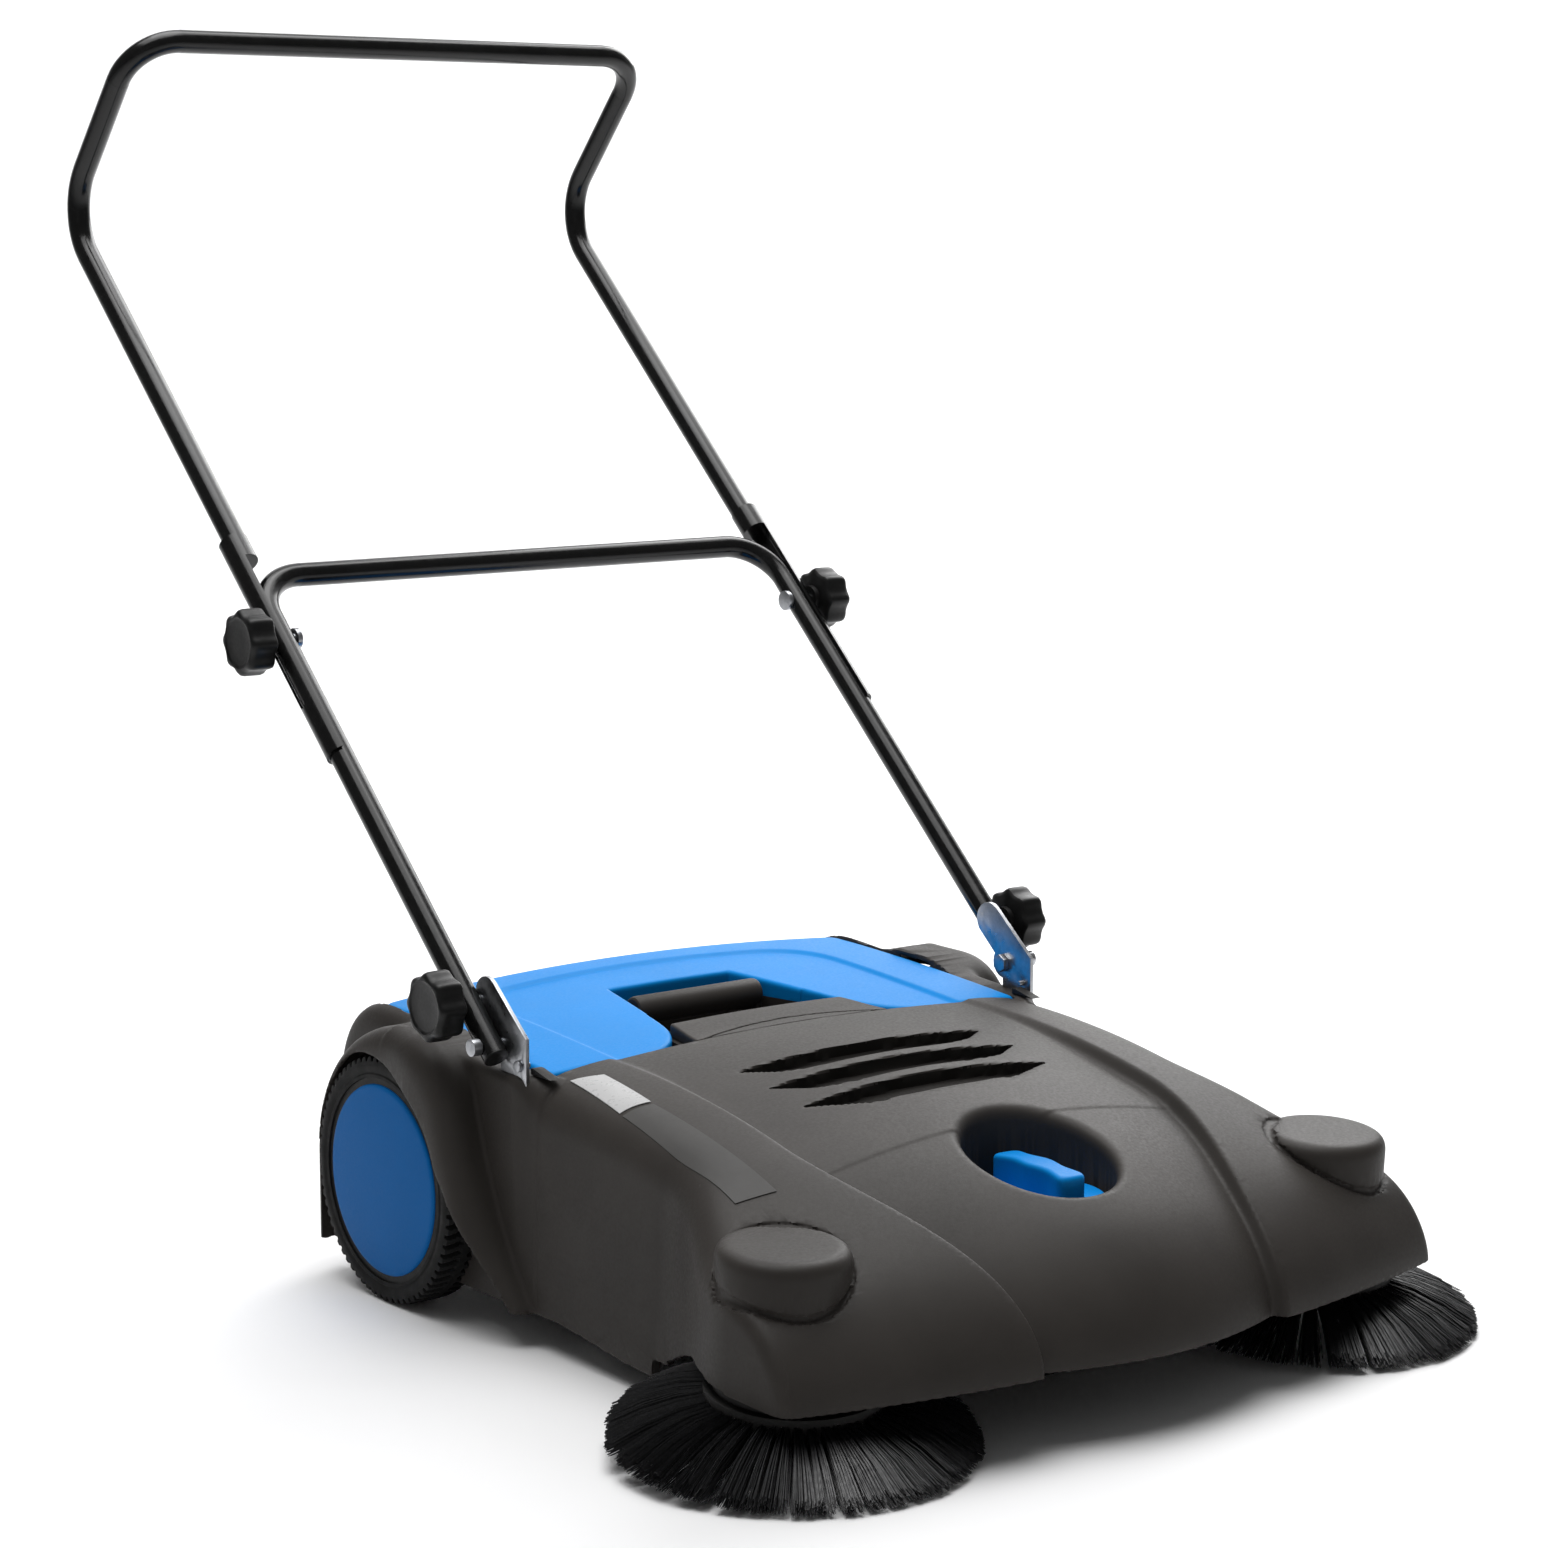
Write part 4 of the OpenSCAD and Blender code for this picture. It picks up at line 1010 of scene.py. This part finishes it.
def build_side_brush(side, word, seed):
    """Tufts of bristles that splay out and down from the hub disc. A bristle's layer runs from 0
    at the bottom of its tuft to 1 at the top."""
    rng = np.random.default_rng(seed)
    base, tip, sag = [], [], []
    for i in range(SIDE_TUFTS):
        middle = (i + rng.uniform(-0.12, 0.12)) * TAU / SIDE_TUFTS
        spread = rng.uniform(0.72, 1.12) * math.pi / SIDE_TUFTS
        reach = rng.uniform(-2.5, 0)
        twist = rng.normal(0, 0.012)
        for _ in range(TUFT_BRISTLES):
            a = rng.uniform(-1, 1)
            layer = rng.uniform(0, 1)
            start = middle + a * 0.045
            end = middle + twist + a * spread + rng.normal(0, 0.006)
            r0 = 44 + 11 * layer
            r1 = (121.4 + reach - abs(rng.normal(0, 1.1)) - 3.0 * layer ** 2
                  - (9 * rng.random() if layer < 0.12 else 0))
            z0 = 21.5 + 11.5 * layer
            z1 = 0.9 + 10.5 * layer ** 1.7 + rng.uniform(0, 1.0)
            base.append((r0 * math.cos(start), r0 * math.sin(start), z0))
            tip.append((r1 * math.cos(end), r1 * math.sin(end), z1))
            sag.append((0, 0, 1.5 + 2.5 * layer + rng.normal(0, 0.6)))
    base, tip, sag = np.array(base), np.array(tip), np.array(sag)
    sag = place_brush(sag, side) - place_brush(sag * 0, side)
    obj = strands("side_brush_bristles_" + word, place_brush(base, side), place_brush(tip, side),
                  sag, SIDE_BRISTLE_R, 3)
    fit_in(obj, "brush_bristles_" + word)


def build_roller_brush():
    """Straight rows of bristles round the roller core."""
    rng = np.random.default_rng(5)
    base, tip = [], []
    for row in range(ROLLER_ROWS):
        for i in range(ROW_TUFTS):
            x = -ROW_LENGTH / 2 + ROW_LENGTH * (i + 0.5) / ROW_TUFTS
            for _ in range(ROW_BRISTLES):
                root = math.radians(45 * row + 20) + rng.uniform(-0.06, 0.06)
                end = root + rng.normal(0, 0.035)
                r1 = ROLLER_TIP_R - abs(rng.normal(0, 0.8))
                xs = x + rng.uniform(-1.2, 1.2)
                base.append((xs, ROLLER_ROOT_R * math.sin(root), ROLLER_ROOT_R * math.cos(root)))
                tip.append((xs + rng.normal(0, 1.2), r1 * math.sin(end), r1 * math.cos(end)))
    base, tip = np.array(base) + ROLLER_CENTRE, np.array(tip) + ROLLER_CENTRE
    obj = strands("roller_rows", base, tip, np.zeros_like(base), ROLLER_BRISTLE_R, 1)
    fit_in(obj, "roller_bristles")


def build_brushes():
    build_side_brush(-1, "left", 11)
    build_side_brush(1, "right", 23)
    build_roller_brush()


# --- stage ---------------------------------------------------------------------------------

CAMERA_PLACE = (-1570.2, -2174.7, 763.4)
CAMERA_AZIMUTH = -37.38
CAMERA_ELEVATION = 8.56
SENSOR = 36
IMAGE = 1548            # pixels
FOCAL = 3630.8          # pixels

# In metres: half size of the floor, where it starts to bend up and how wide, and its top.
FLOOR_SIZE = 6.0
BEND_START = 1.6
BEND_R = 1.6
BACKDROP_TOP = 5.0

AIM = (0, -0.1, 0.25)
# Name, place, target, size and power.
LIGHTS = (
    ("key", (-0.5, 0.1, 3.2), AIM, (2.4, 2.4), 60),
    ("fill", (-2.6, -2.6, 1.3), AIM, (2.0, 2.0), 1),
    ("rim", (2.4, 1.2, 2.2), AIM, (1.6, 2.2), 55),
    ("backdrop", (0.7, 0.9, 2.9), (1.94, 2.54, 1.5), (3.0, 1.2), 45),
    ("top", (0.4, 0.5, 3.4), AIM, (2.6, 2.6), 58),
)
WORLD_STRENGTH = 0.14


def build_stage():
    """Pale floor that bends up into a backdrop, square to the camera's line of sight."""
    n = Nodes("studio floor")
    n.drive("Base Color", n.ramp(n.noise(1.2, 3), (0.3, (0.86, 0.86, 0.87)),
                                 (0.7, (0.9, 0.9, 0.9))))
    n.fix("Roughness", 0.7)
    rows = [(-FLOOR_SIZE, 0.0), (BEND_START, 0.0)]
    rows += [(BEND_START + BEND_R * math.sin(a), BEND_R * (1 - math.cos(a)))
             for a in np.linspace(0, math.pi / 2, 14)[1:]]
    rows.append((BEND_START + BEND_R, BACKDROP_TOP))
    turn = Matrix.Rotation(math.radians(CAMERA_AZIMUTH), 3, "Z")
    half_width = FLOOR_SIZE * 1.5
    points = [tuple(turn @ Vector((x, y, z))) for y, z in rows for x in (-half_width, half_width)]
    faces = [(2 * i, 2 * i + 1, 2 * i + 3, 2 * i + 2) for i in range(len(rows) - 1)]
    floor = make_object("studio_floor", np.array(points), faces, n.material, 60, row=True)


def area_light(name, place, target, size, power):
    data = bpy.data.lights.new(name, "AREA")
    data.shape = "RECTANGLE"
    data.size, data.size_y = size
    data.energy = power
    obj = add_object(name, data)
    obj.location = place
    obj.rotation_euler = (Vector(target) - Vector(place)).to_track_quat("-Z", "Y").to_euler()


def build_lights():
    for light in LIGHTS:
        area_light(*light)
    world = bpy.data.worlds.new("studio")
    bpy.context.scene.world = world
    world.use_nodes = True
    background = world.node_tree.nodes["Background"]
    background.inputs["Color"].default_value = (1, 1, 1, 1)
    background.inputs["Strength"].default_value = WORLD_STRENGTH


def build_camera():
    data = bpy.data.cameras.new("camera")
    data.sensor_width = SENSOR
    data.lens = SENSOR * (FOCAL / IMAGE)
    data.clip_end = 50
    camera = add_object("camera", data)
    camera.location = to_row(CAMERA_PLACE)
    camera.rotation_euler = (math.radians(90 - CAMERA_ELEVATION), 0, math.radians(CAMERA_AZIMUTH))
    bpy.context.scene.camera = camera


dress_cad_nodes()
build_housing()
build_labels()
build_lid()
build_carry_bar()
build_star_grips()
build_fittings()
build_height_knob()
build_floor_pan()
build_wheels()
build_brushes()
build_stage()
build_lights()
build_camera()
bpy.context.scene.view_settings.view_transform = "Standard"
